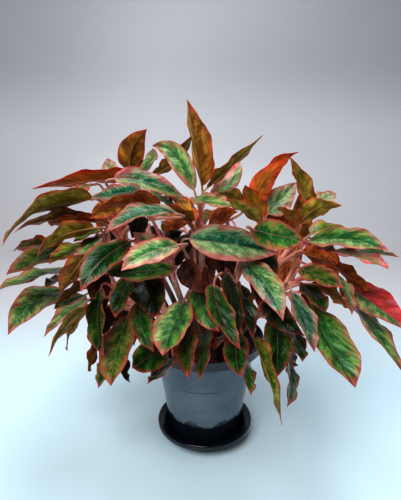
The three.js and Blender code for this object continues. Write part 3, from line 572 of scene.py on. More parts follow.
def settled(vertices, make, inner, rings):
    """The leaf at the step that fits the coarse stem best, or None where none fits."""
    order = range(MOST + 1) if inner else range(-MOST, MOST + 1)
    best = (0, None)
    for step in order:
        near = [vertices.find(p)[2] < NEAR for p in corners(make(step * STEP), rings)]
        best = max(best, (sum(near) / len(near), step), key=lambda pair: pair[0])
    share, step = best
    return make(step * STEP) if share > ENOUGH else None


print("a broad coarse blade has", len(corners(sample | {"phase": 0}, RINGS["full"])), "corners")

# %% Find the leaves
plants = {}
found = missing = 0
for stem, cane in CANES.items():
    places = np.array([v.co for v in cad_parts[stem].data.vertices]) / MM
    vertices = KDTree(len(places))
    for i, place in enumerate(places):
        vertices.insert(place, i)
    vertices.balance()

    wanted = []
    for name, (kind, *row) in cane["leaves"].items():
        looks, face = row[6:8]
        rings = RINGS["light" if looks < FULL_FROM else "full"]
        if name[0] == "I" or looks < LIGHT_FROM:
            rings = RINGS["least"]
        wanted.append((name, kind, face, rings, lambda slide, row=row: leaf_from_row(row, slide)))
    for n, back in enumerate(back_leaves(cane["top"], cane["heading"]) if cane["heading"] else []):

        def make(slide, back=back):
            base, middle, tip = (p + np.array([0, slide, 0]) for p in back[:3])
            return leaf_of(base, middle, tip, RATIO * back[3])

        wanted.append((f"I-back{n}", FAR_KINDS[n], 1, RINGS["least"], make))

    plants[stem] = []
    for place, (name, kind, face, rings, make) in enumerate(wanted):

        def phased(slide, make=make, place=place):
            return make(slide) | {"phase": 2.4 * place}

        leaf = settled(vertices, phased, name[0] == "I", rings)
        if leaf is None:
            missing += 1
            continue
        found += 1
        leaf |= {"name": name, "kind": kind, "shown": face, "place": place}
        plants[stem].append(leaf)
print("leaves found:", found, "- left out for want of room:", missing)

# %% [markdown]
# ## Making meshes
#
# A mesh is built from arrays of vertices and faces, because every blade differs and no primitive or
# modifier gives its shape. Anything that a material should know about a vertex, such as its distance
# to the margin or the leaf's own colours, goes in as an attribute. All blades of a stem are joined
# into one mesh, and so are its stalks.

# %% Meshes from arrays
def mesh_object(name, vertices, faces, attributes, material, sharp=40):
    """An object in metres from arrays in mm.

    Attributes are (kind, values) by name. Edges that turn by more than sharp degrees stay sharp.
    """
    mesh = bpy.data.meshes.new(name)
    mesh.from_pydata((np.asarray(vertices) * MM).tolist(), [], faces)
    for key, (kind, values) in attributes.items():
        store = mesh.attributes.new(key, kind, "POINT")
        field = "color" if kind == "FLOAT_COLOR" else "vector"
        store.data.foreach_set(field, np.asarray(values, np.float32).ravel())
    mesh.shade_smooth()
    mesh.set_sharp_from_angle(angle=math.radians(sharp))
    mesh.materials.append(material)
    mesh.update()
    made = bpy.data.objects.new(name, mesh)
    bpy.context.scene.collection.objects.link(made)
    return made


class Parts:
    """Several closed shapes collected into one mesh, with their attributes."""

    def __init__(self):
        self.vertices, self.faces, self.attributes = [], [], {}
        self.count = 0

    def add(self, vertices, faces, attributes):
        """Adds one closed shape, with its attributes."""
        self.faces += [tuple(i + self.count for i in face) for face in faces]
        self.vertices.append(vertices)
        self.count += len(vertices)
        for key, (kind, values) in attributes.items():
            self.attributes.setdefault(key, (kind, []))[1].append(values)

    def made(self, name, material):
        """One object of all the shapes so far."""
        joined = {k: (kind, np.vstack(v)) for k, (kind, v) in self.attributes.items()}
        return mesh_object(name, np.vstack(self.vertices), self.faces, joined, material)


print("stems to build:", len(plants), "- each with one mesh of blades and one of cane and stalks")

# %% [markdown]
# ## Blades
#
# A real blade is a leathery sheet half a millimetre thick. It is built as a thin closed sheet: an
# upper and a lower grid of points, joined at the margins and at both ends. The halves arch out from
# the rib, the tip is drawn out, and the margin ripples, because a flat sheet would catch the light
# like paper. The pattern is laid out in millimetres from the rib, from the base and from the margin,
# so that veins and margins have their real size on every leaf.

# %% The grid of a blade
# Shares of half the width, closer together at the margin, and of the length, closer at both ends.
ACROSS = np.array([-1, -0.975, -0.92, -0.8, -0.62, -0.42, -0.22, -0.08, 0])
ACROSS = np.append(ACROSS, -ACROSS[-2::-1])
ALONG = 0.0005 + 0.9975 * (1 - np.cos(np.linspace(0, math.pi, 34))) / 2
THICK = 0.5  # mm
RIPPLE, RIPPLES = 0.9, 41  # mm, of the margins, and radians of ripples along the midrib


def smooth(x, start, end):
    """0 before start, 1 after end, and a soft step between them."""
    share = np.clip((x - start) / (end - start), 0, 1)
    return share * share * (3 - 2 * share)


def blade_points(leaf, t, u):
    """A grid of points of the fine blade, a row for each t, with the upper face of each row."""
    point, _, face, side = stations(leaf, t)
    broad = outline(t) * (1 - 0.2 * smooth(t, 0.8, 0.97) * smooth(1 - t, 0, 0.03))
    half = leaf["width"] / 2 * broad[:, None] * np.abs(u)
    t, u = t[:, None], u[None, :]
    wave = WAVE * np.sin(WAVES * t + leaf["phase"] + 0.9 * np.sign(u)) * u * u
    ripple = RIPPLE * np.sin(RIPPLES * t + 7 * leaf["phase"] + 2.2 * np.sign(u)) * np.abs(u) ** 5
    arch = half * math.sin(leaf["fold"]) * (1.3 - 0.3 * np.abs(u))
    rise = arch + (wave + ripple) * broad[:, None]
    across = np.sign(u) * half * math.cos(leaf["fold"])
    grid = point[:, None] + side[:, None] * across[..., None] + face[:, None] * rise[..., None]
    return grid, face


def sheet_faces(rows, columns):
    """The faces of two grids, the lower one after the upper one, joined round their border."""
    under = rows * columns
    faces = []
    for i in range(rows - 1):
        for j in range(columns - 1):
            a = i * columns + j
            b = a + columns
            faces.append((a, a + 1, b + 1, b))
            faces.append((under + a, under + b, under + b + 1, under + a + 1))
        left, right = i * columns, (i + 1) * columns - 1
        faces.append((left, left + columns, under + left + columns, under + left))
        faces.append((right, under + right, under + right + columns, right + columns))
    for j in range(columns - 1):
        last = (rows - 1) * columns + j
        faces.append((j, under + j, under + j + 1, j + 1))
        faces.append((last, last + 1, under + last + 1, under + last))
    return faces


def lengths(points):
    """The distance from the first point to each, along the line through them."""
    return np.concatenate([[0], np.cumsum(np.linalg.norm(np.diff(points, axis=0), axis=1))])


print("points in the grid of a blade:", len(ALONG), "x", len(ACROSS))

# %% One blade with its colours
rng = np.random.default_rng(7)
TONES = 0.2  # how much leaves differ in brightness


def add_blade(parts, leaf):
    """One blade with its colours and the distances that its pattern needs."""
    grid, face = blade_points(leaf, ALONG, ACROSS)
    rows, columns = grid.shape[:2]
    lift = (face * THICK / 2)[:, None]
    vertices = np.concatenate([(grid + lift).reshape(-1, 3), (grid - lift).reshape(-1, 3)])

    rib_line = grid[:, columns // 2]
    length = np.repeat(lengths(rib_line)[:, None], columns, 1)
    half = np.linalg.norm(grid[:, 0] - rib_line, axis=1)[:, None]
    signed = half * ACROSS
    distance = np.stack([signed, length, half - np.abs(signed)], axis=-1).reshape(-1, 3)
    share = (length / length[-1]).reshape(-1)
    right = np.tile(ACROSS > 0, rows)

    other = OTHER_FACE[leaf["shown"]]
    kinds = [leaf["kind"], other[int(rng.integers(len(other)))]][:: leaf["shown"]]
    colours = {key: [] for key in ("ground", "feather", "margin", "rib")}
    habit, extra = [], []
    for side, kind in enumerate(kinds):
        halves = [KINDS[k] for k in (kind.split("|") * 2)[:2]]
        tone = 1 + TONES * (rng.random() - 0.5)
        for n, key in enumerate(colours):
            pair = [paint(half_kind[n], tone) for half_kind in halves]
            colours[key].append(np.where(right[:, None], pair[1], pair[0]))
        numbers = np.where(right[:, None], halves[1][4:], halves[0][4:])
        habit.append(numbers[:, :3])
        start = numbers[:, 3]
        from_base = np.clip(1 + share / np.minimum(start, -0.01), 0, 1)
        to_tip = np.clip((share - start) / (1 - np.maximum(start, 0)), 0, 1)
        tip = np.where(start < 0, from_base, to_tip)
        dull = 1 if leaf["name"][0] == "I" or kind == "shade" else side
        extra.append(np.column_stack([np.full((len(share), 2), (leaf["seed"], dull)), tip]))
    attributes = {key: ("FLOAT_COLOR", np.vstack(values)) for key, values in colours.items()}
    attributes["place"] = ("FLOAT_VECTOR", np.tile(distance, (2, 1)))
    attributes["habit"] = ("FLOAT_VECTOR", np.vstack(habit))
    attributes["extra"] = ("FLOAT_VECTOR", np.vstack(extra))
    parts.add(vertices, sheet_faces(rows, columns), attributes)


print("triangles in a blade:", sum(len(face) - 2 for face in sheet_faces(len(ALONG), len(ACROSS))))

# %% [markdown]
# ## Stalks, midribs and canes
#
# Stalks and canes are round and fleshy, so they are tubes along curves, in mesh code, because a tint
# that changes along the tube then goes in as a colour attribute. Each stalk goes on as the midrib
# under its blade and thins out to the tip. A cane has a low ring where each old leaf stood.

# %% Tubes
def add_tube(parts, points, radii, sides, tints):
    """A closed tube through the points, with a radius and a colour at each of them."""
    along = unit(np.gradient(points, axis=0))
    normal = np.array([0.0, -1.0, 0.02])
    angles = np.arange(sides) * 2 * math.pi / sides
    rings = []
    for point, ahead, radius in zip(points, along, radii):
        normal = unit(normal - ahead * (normal @ ahead))
        across = np.cross(ahead, normal)
        ring = np.outer(np.cos(angles), normal) + np.outer(np.sin(angles), across)
        rings.append(point + radius * ring)
    faces = [tuple(range(sides))[::-1]]
    for i in range(len(points) - 1):
        for k in range(sides):
            a, b = i * sides + k, i * sides + (k + 1) % sides
            faces.append((a, b, b + sides, a + sides))
    last = (len(points) - 1) * sides
    faces.append(tuple(last + k for k in range(sides)))
    place = np.zeros((len(points) * sides, 3))
    place[:, 0] = np.repeat(lengths(points), sides)
    place[:, 1] = np.tile(angles, len(points))
    attributes = {
        "tint": ("FLOAT_COLOR", np.repeat(tints, sides, axis=0)),
        "place": ("FLOAT_VECTOR", place),
    }
    parts.add(np.vstack(rings), faces, attributes)


def blend(a, b, share):
    """Colours from a to b for an array of shares."""
    share = np.asarray(share)[:, None]
    return np.asarray(a) * (1 - share) + np.asarray(b) * share


print("halfway from black to white:", blend(paint("#000000"), paint("#ffffff"), [0.5])[0])

# %% Stalks and canes
STALK_FOOT, STALK_END, RIB_END = 4.2, 2.0, 0.25  # radius in mm at the cane, the blade and its tip
STALK_SIDES, STALK_STATIONS, RIB_STATIONS = 8, 15, 14
CANE_FOOT, CANE_TOP = 7.3, 5.6  # radius in mm
CANE_SIDES, CANE_STATIONS = 16, 46
SCARS, SCAR_HEIGHT, SCAR_LIGHT = 15, 0.35, 1.25  # how many, in mm, and how much lighter
RIB_REACH = 0.94  # share of the blade that its rib runs along
STALK_PINK, STALK_GREEN = paint("#ff8a76"), paint("#dca080")
# The cane's colours are partly its own and partly painted: the brown is painted shade low in the plant,
# and the bright pink is painted light on its top.
LIT_CANE_PINK, SHADED_CANE_BROWN = paint("#ffb8a0"), paint("#3e2418")


def add_stalk(parts, cane, leaf):
    """The stalk of a leaf and the midrib below its blade."""
    s = np.linspace(0, 1, STALK_STATIONS)
    path, _ = stalk_curve(cane, leaf["place"], leaf)(s)
    t = np.linspace(0, RIB_REACH, RIB_STATIONS)[1:]
    rib, _, face, _ = stations(leaf, t)
    thin = RIB_END + (STALK_END - RIB_END) * (1 - t) ** 1.2 * 0.8
    rib = rib - face * (thin - 0.3)[:, None]
    radii = np.concatenate([STALK_FOOT + (STALK_END - STALK_FOOT) * s**0.7, thin])
    warm = 0.35 + 0.65 * rng.random()
    foot = blend(STALK_GREEN, STALK_PINK, [warm])[0]
    shown = paint(KINDS[leaf["kind"].split("|")[0]][3])
    tints = np.vstack([blend(foot, shown, s), blend(shown, shown, t)])
    add_tube(parts, np.vstack([path, rib]), radii, STALK_SIDES, tints)


def add_cane(parts, cane):
    """The cane, with a low ring where each old leaf stood."""
    t = np.linspace(0, 1, CANE_STATIONS)
    path, _ = cane_curve(cane)(t)
    path = np.vstack([[*cane["foot"], HOLE_FLOOR + 0.4], path])
    share = np.concatenate([[0], t])
    scar = np.cos(np.linspace(0, 1, len(share)) * 2 * math.pi * SCARS) > 0.75
    # Brown low down to bright pink at the top: partly the cane's own colour, partly painted shade below
    # and painted light on the top.
    tints = blend(SHADED_CANE_BROWN, LIT_CANE_PINK, smooth(share, 0.4, 1.0))
    tints[scar] *= SCAR_LIGHT
    radii = CANE_FOOT + (CANE_TOP - CANE_FOOT) * share - SCAR_HEIGHT * ~scar
    add_tube(parts, path, radii, CANE_SIDES, tints)


print("a stalk thins from", STALK_FOOT, "to", STALK_END, "mm of radius, and its rib to", RIB_END)

# %% [markdown]
# ## Adding nodes
#
# Every material here is a tree of nodes, so that its pattern follows the real sizes and needs no
# picture. One small function adds a node. A line then reads as the node does: its kind, its inputs
# in order or by name, and its settings. An input that is given another node is linked to it.

# %% One function for nodes
SOFT = {"interpolation_type": "SMOOTHSTEP"}  # a Map Range that starts and ends softly
COLOUR = {"data_type": "RGBA"}  # a Mix of two colours
TINT = {"data_type": "RGBA", "blend_type": "MULTIPLY"}  # a Mix that multiplies two colours


def add_node(tree, kind, *values, **named):
    """A new node: values fill its inputs in use in order, and a name is an input or a setting."""
    made = tree.nodes.new("ShaderNode" + kind)
    filled = [(made.inputs[name], value) for name, value in named.items() if name in made.inputs]
    for name, value in named.items():
        if name not in made.inputs:
            setattr(made, name, value)
    filled += zip([socket for socket in made.inputs if socket.enabled], values)
    for socket, value in filled:
        if isinstance(value, bpy.types.Node):
            value = next(output for output in value.outputs if output.enabled)
        if isinstance(value, bpy.types.NodeSocket):
            tree.links.new(value, socket)
        else:
            socket.default_value = value
    return made


def new_material(name):
    """An empty material, and add_node for its tree."""
    material = bpy.data.materials.new(name)
    material.use_nodes = True
    material.node_tree.nodes.clear()
    return material, partial(add_node, material.node_tree)


def per(size):
    """The scale that gives a pattern patches of a size in mm, where places are in metres."""
    return 1 / (size * MM)


print("a pattern with patches of 5 mm has the scale", per(5))

# %% [markdown]
# ### Leaf: where a point lies
#
# A living leaf has a waxy skin, with a soft gloss above and a duller face below, and it lets a
# little light through. Its side veins run forward from the midrib and everything in its pattern
# follows them, so a plain noise would look like marble. Each point therefore gets the place on the
# midrib where its side vein starts. A pattern over that place and the distance from the midrib is
# stretched along the veins. The distances come in millimetres from the mesh's attributes.

# %% Leaf: where a point lies
VEIN_LEAN, VEIN_BEND = -0.75, -0.012  # how far a side vein runs forward, and bends further out
OTHER_HALF = 31.0  # takes the noise of one half of the blade far from that of the other
LEAF, add = new_material("Aglaonema leaf")
ground, feather, margin, rib = (
    add("Attribute", attribute_name=name) for name in ("ground", "feather", "margin", "rib")
)
place, habit, extra = (
    add("Attribute", attribute_name=name).outputs["Vector"] for name in ("place", "habit", "extra")
)
signed, along, to_edge = add("SeparateXYZ", place).outputs
cover, line, haze = add("SeparateXYZ", habit).outputs
seed, under, tip = add("SeparateXYZ", extra).outputs
across = add("Math", signed, operation="ABSOLUTE")
outward = add("Math", across, add("Math", across, to_edge, operation="ADD"), operation="DIVIDE")
vein_start = add("Math", across, VEIN_LEAN, along, operation="MULTIPLY_ADD")
squared = add("Math", across, 2.0, operation="POWER")
vein_start = add("Math", squared, VEIN_BEND, vein_start, operation="MULTIPLY_ADD")
half = add("Math", signed, operation="SIGN")
half = add("Math", half, OTHER_HALF, seed, operation="MULTIPLY_ADD")


def patches(wide, long, detail, roughness, shift=0.0):
    """Noise in patches that are some mm wide from vein to vein and some mm long."""
    x = add("Math", vein_start, 1 / wide, shift, operation="MULTIPLY_ADD")
    y = add("Math", across, long, operation="DIVIDE")
    return add("TexNoise", add("CombineXYZ", x, y, half), 1.0, detail, roughness)


streak = patches(2.9, 10, 5.0, 0.62)
blotch = patches(20, 13, 2.0, 0.5)
warmth = patches(17, 10, 3.0, 0.55, 40.0)
fine = patches(1, 2.2, 3.0, 0.7)
mottle = patches(4.2, 5, 5.0, 0.68)
print("nodes so far:", len(LEAF.node_tree.nodes))

# %% [markdown]
# ### Leaf: feathers
#
# The pale feathers lie between the veins and grow wider away from the rib. How pale a point is adds
# up from its distance from the rib and from blotches, streaks and mottles. A soft step then turns it
# into a share of the feathers' colour, which keeps their borders ragged, as on the real leaf.

# %% Leaf: feathers
paleness = add("Math", cover, 0.22, operation="SUBTRACT")
paleness = add("Math", outward, 0.55, paleness, operation="MULTIPLY_ADD")
for amount, field in ((0.8, blotch), (0.4, streak), (0.5, fine), (1.3, mottle)):
    level = add("Math", field, 0.5, operation="SUBTRACT")
    paleness = add("Math", level, amount, paleness, operation="MULTIPLY_ADD")
share = add("MapRange", paleness, 0.24, 0.9, **SOFT)
colour = add("Mix", share, ground, feather, **COLOUR)
share = add("MapRange", streak, 0.5, 0.36, 0.0, 0.45, **SOFT)
shadow = add("Mix", 0.6, ground, (0, 0, 0, 1), **COLOUR)
colour = add("Mix", share, colour, shadow, **COLOUR)
print("nodes so far:", len(LEAF.node_tree.nodes))

# %% [markdown]
# ### Leaf: red margin
#
# The red of the margin isn't a clean line. It spreads inward as mottles and as a haze, it covers the
# tip, and the line itself is thicker where the leaf is warm. Each is one more layer of the margin's
# colour, laid over the last by a share.

# %% Leaf: red margin
warm = add("Math", mottle, 0.5, warmth, operation="MULTIPLY_ADD")
warm = add("Math", outward, 0.4, warm, operation="MULTIPLY_ADD")
warm = add("MapRange", warm, 0.95, 1.25, 0.0, 0.12, **SOFT)
warm = add("Math", warm, haze, operation="MULTIPLY")
share = add("Math", warm, 0.7, operation="MINIMUM")
colour = add("Mix", share, colour, margin, **COLOUR)

# The haze reaches in from the margin, ragged along the veins.
ragged = add("Math", streak, 0.5, operation="MULTIPLY")
ragged = add("Math", warmth, 1.5, ragged, operation="MULTIPLY_ADD")
reach = add("Math", haze, ragged, operation="MULTIPLY")
reach = add("Math", reach, 2.2, operation="MULTIPLY")
inward = add("Math", to_edge, reach, operation="DIVIDE")
share = add("MapRange", inward, 1.0, 0.0, 0.0, 0.62, **SOFT)
dusty = add("Mix", 0.5, margin, rib, **COLOUR)
colour = add("Mix", share, colour, dusty, **COLOUR)

# It covers the tip.
cap = add("Math", ragged, 1.0, operation="SUBTRACT")
cap = add("Math", cap, 0.6, tip, operation="MULTIPLY_ADD")
cap = add("MapRange", cap, 0.0, 1.4, **SOFT)
near_tip = add("MapRange", tip, 0.0, 0.3, 0.0, 0.75, **SOFT)
share = add("Math", cap, near_tip, operation="MULTIPLY")
colour = add("Mix", share, colour, margin, **COLOUR)

# The line is thicker where the leaf is warm.
thick = add("MapRange", warmth, 0.35, 0.6, 0.7, 1.2, **SOFT)
thick = add("Math", line, thick, operation="MULTIPLY")
inward = add("Math", to_edge, thick, operation="DIVIDE")
share = add("MapRange", inward, 1.1, 0.4, 0.0, 0.9, **SOFT)
colour = add("Mix", share, colour, margin, **COLOUR)
print("nodes so far:", len(LEAF.node_tree.nodes))

# %% [markdown]
# ### Leaf: veins, rib and speckles
#
# Side veins stand about 7 mm apart. They show as thin broken lines of the rib's colour, and the rib
# as a broad one that narrows towards the tip. Last come light and dark patches and small specks,
# because no part of a living leaf is evenly coloured.

# %% Leaf: veins, rib and speckles
VEIN = 7.0  # mm from one side vein to the next
SPECK = 0.8  # mm, the size of the specks
from_vein = add("Math", vein_start, VEIN / 2, operation="PINGPONG")
vein = add("MapRange", from_vein, 0.45, 0.05, **SOFT)
broken = add("MapRange", mottle, 0.4, 0.6, 0.0, 0.14, **SOFT)
share = add("Math", vein, broken, operation="MULTIPLY")
colour = add("Mix", share, colour, rib, **COLOUR)

rib_edge = add("Math", along, -0.005, 1.05, operation="MULTIPLY_ADD")
rib_edge = add("Math", rib_edge, 0.45, operation="MAXIMUM")
share = add("MapRange", across, rib_edge, 0.25, 0.0, 0.66, **SOFT)
colour = add("Mix", share, colour, rib, **COLOUR)

light = add("MapRange", blotch, 0.3, 0.7, 0.7, 1.3, **SOFT)
speck = add("CombineXYZ", vein_start, across, half)
speck = add("TexNoise", speck, 1 / SPECK, 2.0, 0.55)
speck = add("MapRange", speck, 0.66, 0.76, 1.0, 0.72, **SOFT)
shade = add("Math", light, speck, operation="MULTIPLY")
colour = add("Mix", 1.0, colour, shade, **TINT)
print("nodes so far:", len(LEAF.node_tree.nodes))

# %% [markdown]
# ### Leaf: relief, gloss and the light that comes through
#
# The skin is puffed a little between the veins, and the whole blade has low hills. Bump gives both,
# since neither is deep enough to change the outline. Some of the light is let through, warmer than
# it came, by a translucent shader mixed in.

# %% Leaf: relief, gloss and the light that comes through
puff = add("MapRange", from_vein, 0.0, VEIN / 2, 0.0, 0.5, **SOFT)
rise = add("Math", mottle, 1.6, puff, operation="MULTIPLY_ADD")
rise = add("Math", fine, 0.2, rise, operation="MULTIPLY_ADD")
hills = add("Bump", Height=patches(28, 20, 2.0, 0.45, 80.0), Distance=5 * MM)
normal = add("Bump", Height=rise, Distance=0.22 * MM, Normal=hills)
rough = add("Math", streak, 0.18, 0.14, operation="MULTIPLY_ADD")
rough = add("Math", under, 0.2, rough, operation="MULTIPLY_ADD")
gloss = add("Math", under, -0.17, 0.27, operation="MULTIPLY_ADD")
skin = add("BsdfPrincipled", colour, Roughness=rough, Normal=normal, **{"Specular IOR Level": gloss})
glow = add("Mix", 1.0, colour, paint("#ffd6b4", 1.3), **TINT)
through = add("BsdfTranslucent", glow)
add("OutputMaterial", add("MixShader", 0.14, skin, through))
print("nodes of the leaf:", len(LEAF.node_tree.nodes))

# %% [markdown]
# ### Stalk and cane
#
# Stalks and canes have a smooth, fleshy skin, streaked along their length with small brown specks.
# Their pattern is laid out along and round the tube: with the sine and cosine of the angle it has
# no seam. The specks are drawn larger than real ones, so that they show.

# %% Stalk and cane
STREAK_LONG, SPECK_LONG = 33.0, 2.5  # mm along the stalk
STALK, add = new_material("Aglaonema stalk")
tint = add("Attribute", attribute_name="tint")
place = add("Attribute", attribute_name="place").outputs["Vector"]
run, angle, _ = add("SeparateXYZ", place).outputs
ring = add("Math", angle, operation="COSINE"), add("Math", angle, operation="SINE")
streak = add("CombineXYZ", add("Math", run, STREAK_LONG, operation="DIVIDE"), *ring)
streak = add("TexNoise", streak, 2.2, 4.0, 0.6)
shade = add("MapRange", streak, 0.25, 0.75, 0.62, 1.3, **SOFT)
colour = add("Mix", 1.0, tint, shade, **TINT)
speck = add("CombineXYZ", add("Math", run, SPECK_LONG, operation="DIVIDE"), *ring)
speck = add("TexNoise", speck, 3.0, 3.0, 0.55)
share = add("MapRange", speck, 0.62, 0.7, 0.0, 0.4, **SOFT)
colour = add("Mix", share, colour, paint("#6a2c22"), **COLOUR)
normal = add("Bump", Height=streak, Distance=0.5 * MM)
add("OutputMaterial", add("BsdfPrincipled", colour, Roughness=0.42, Normal=normal))
print("nodes of the stalk:", len(STALK.node_tree.nodes))

# %% [markdown]
# ### Plastic of the pot and the saucer
#
# Both are injection moulded in polypropylene: smooth, with a soft gloss and a surface that is never
# quite flat, the pot slate grey and the saucer black. Use shows on the pot: dust greys it in clouds
# and water has left faint dark streaks. On top of that come painted reflection and painted shade:
# its foot is painted near black up to a ragged edge, for the black saucer that it mirrors, its
# collar is painted darker, for the shade of the leaves, and a painted shade lies in its crease. All
# of this could be painted in an image, but noise in real sizes has no seam and looks the same from
# every side. The grain is drawn coarser than it is, to show at all.

# %% Plastic of the pot and the saucer
SAUCER_REFLECTION_TOP, CREASE, SHADED_COLLAR_FROM = 0.073, 0.1572, 0.219  # heights on the pot, in m
RAGGED = 0.05  # m, how far the edge of the painted reflection wanders
EDGE_BLUR = 0.005  # m, how soft it is


def plastic_material(name, colour, rough, dust, marks=None):
    """Smooth moulded plastic, dusty and streaked, with other marks laid over it."""
    material, add = new_material(name)
    where = add("TexCoord").outputs["Object"]
    cloud = add("TexNoise", where, per(70), 4.0, 0.55)
    flow = add("TexNoise", where, per(16), 3.0, 0.55)
    grain = add("TexNoise", where, per(1.1), 2.0, 0.55)
    share = add("MapRange", cloud, 0.4, 0.75, 0.0, dust, **SOFT)
    base = add("Mix", share, paint(colour), paint("#a9b3bc"), **COLOUR)
    share = add("MapRange", flow, 0.3, 0.7, 0.0, 0.12, **SOFT)
    base = add("Mix", share, base, paint("#10151a"), **COLOUR)
    roughness = add("Math", cloud, 0.14, rough, operation="MULTIPLY_ADD")
    if marks:
        base, roughness = marks(add, where, cloud, base, roughness)
    height = add("Math", flow, 2.0, grain, operation="MULTIPLY_ADD")
    normal = add("Bump", Height=height, Distance=0.05 * MM)
    add("OutputMaterial", add("BsdfPrincipled", base, Roughness=roughness, Normal=normal))
    print("nodes of", name + ":", len(material.node_tree.nodes))
    return material


def pot_marks(add, where, cloud, base, roughness):
    """The pot's painted reflection on its foot, and the painted shade on its collar and in its crease."""
    z = add("SeparateXYZ", where).outputs["Z"]
    # Painted reflection: the foot is painted near black up to a ragged edge, for the black saucer that it
    # mirrors and the shade inside the saucer, and it is a little glossier there.
    edge = add("TexNoise", where, per(42), 2.0, 0.55)
    edge = add("Math", edge, RAGGED, z, operation="MULTIPLY_ADD")
    reflection_below = SAUCER_REFLECTION_TOP + RAGGED / 2  # since noise lies round a half
    painted_reflection = add("MapRange", edge, reflection_below + EDGE_BLUR, reflection_below, **SOFT)
    share = add("Math", painted_reflection, 0.95, operation="MULTIPLY")
    base = add("Mix", share, base, paint("#060b15"), **COLOUR)
    roughness = add("Math", painted_reflection, -0.08, roughness, operation="MULTIPLY_ADD")
    # Painted shade: the collar is painted near black, for the shade of the leaves above it.
    share = add("MapRange", z, SHADED_COLLAR_FROM - 0.001, SHADED_COLLAR_FROM, 0.0, 0.95, **SOFT)
    base = add("Mix", share, base, paint("#070c14"), **COLOUR)
    # Painted shade: a thin dark line in the crease, for the shadow under its step, broken up where the
    # dust clouds are.
    off = add("Math", z, CREASE, operation="SUBTRACT")
    off = add("Math", off, operation="ABSOLUTE")
    painted_crease_shade = add("MapRange", off, 0.0013, 0.0004, **SOFT)
    dusty = add("MapRange", cloud, 0.4, 0.55, **SOFT)
    share = add("Math", painted_crease_shade, dusty, operation="MULTIPLY")
    base = add("Mix", share, base, paint("#10161c"), **COLOUR)
    return base, roughness


POT_PLASTIC = plastic_material("Moulded slate polypropylene", "#4e5b67", 0.13, 0.14, pot_marks)
SAUCER_PLASTIC = plastic_material("Moulded black polypropylene", "#060b15", 0.04, 0.01)

# %% [markdown]
# ### Peat of the soil
#
# Potting soil is peat: soft dark lumps about 6 mm across with paler crumbs in between, and quite
# matt. Little of it shows below the leaves, so the coarse solid keeps its shape, and colour and bump
# from the same two patterns break it up.

# %% Peat of the soil
PEAT, add = new_material("Peat compost")
where = add("TexCoord").outputs["Object"]
lump = add("TexNoise", where, per(6), 5.0, 0.65)
crumb = add("TexVoronoi", where, per(2.4))
share = add("MapRange", lump, 0.3, 0.7, **SOFT)
base = add("Mix", share, paint("#1a110b"), paint("#4a3424"), **COLOUR)
share = add("MapRange", crumb, 0.12, 0.02, **SOFT)
base = add("Mix", share, base, paint("#8a7a64"), **COLOUR)
height = add("Math", crumb, 0.5, lump, operation="MULTIPLY_ADD")
normal = add("Bump", Height=height, Distance=3 * MM)
add("OutputMaterial", add("BsdfPrincipled", base, Roughness=0.92, Normal=normal))
print("nodes of the peat:", len(PEAT.node_tree.nodes))

# %% [markdown]
# ## The stems take the place of the coarse ones
#
# Each coarse stem is one solid, and two fine pieces stand for it: one of all its blades and one of
# its cane and stalks, because they have different materials.

# %% Build the stems
SEED_STEP, SEEDS = 3.7, 97  # give each leaf its own place in the noise
blade_count = 0
for stem, cane in CANES.items():
    blades, stalks = Parts(), Parts()
    add_cane(stalks, cane)
    for leaf in plants[stem]:
        leaf["seed"] = SEED_STEP * blade_count % SEEDS + leaf["place"]
        add_blade(blades, leaf)
        add_stalk(stalks, cane, leaf)
        blade_count += 1
    label = stem.replace("stem", "leaves")
    for piece in (blades.made(label, LEAF), stalks.made(label.replace("leaves", "stalks"), STALK)):
        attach(piece, "root")
        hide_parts(stem)
print("blades made:", blade_count)

# %% [markdown]
# ## Profiles of the pot and the saucer
#
# Both are moulded in plastic about 2 mm thick, so both are shells of revolution. The pot has a step
# below its rim that stands out as a collar, a crease two thirds of the way up and a floor raised on
# a foot ring. The saucer has a broad rolled brim. The profiles are those of the coarse ones: radius
# and height in millimetres, from the axis along the outside up to the rim and back along the inside
# to the axis. Typed points are enough for them, since every stretch between two corners is straight.

# %% Profiles
SAUCER = {"base": 74, "inner": 87, "brim": 97, "rim": 105, "top": 39, "lip": 28, "floor": 3}
POT = {"foot": 75, "under": 107, "low": 220, "rim": 242, "collar": 124, "wall": 2.2}
POT |= {"step_height": 157, "step": 0.8, "floor": 7, "bottom": 3.3}


def saucer_profile():
    """The outline of the saucer's section."""
    base, inner, brim, rim, top, lip, floor = SAUCER.values()
    return [
        (0, 0), (base, 0), (base + 6, 5.5), (inner - 3.6, 16), (inner + 1.2, top - 7.8),
        (brim - 2.4, top - 4.6), (rim - 3.4, top - 2.4), (rim - 2.4, top - 3.2),
        (rim - 2.4, lip + 0.4), (rim - 0.4, lip), (rim, top - 3), (rim - 1.4, top),
        (rim - 4, top), (brim - 3, top - 2.2), (inner + 1.4, top - 4.4), (inner, top - 6),
        (inner - 1.4, top - 9), (inner - 6.2, 15.4), (base + 4, floor + 4.4),
        (base - 0.4, floor), (0, floor),
    ]


def pot_radius(z):
    """The radius of the pot's outside below the collar, at a height."""
    slope = (POT["under"] - POT["foot"]) / (POT["low"] - POT["bottom"])
    return POT["foot"] + slope * (z - POT["bottom"])


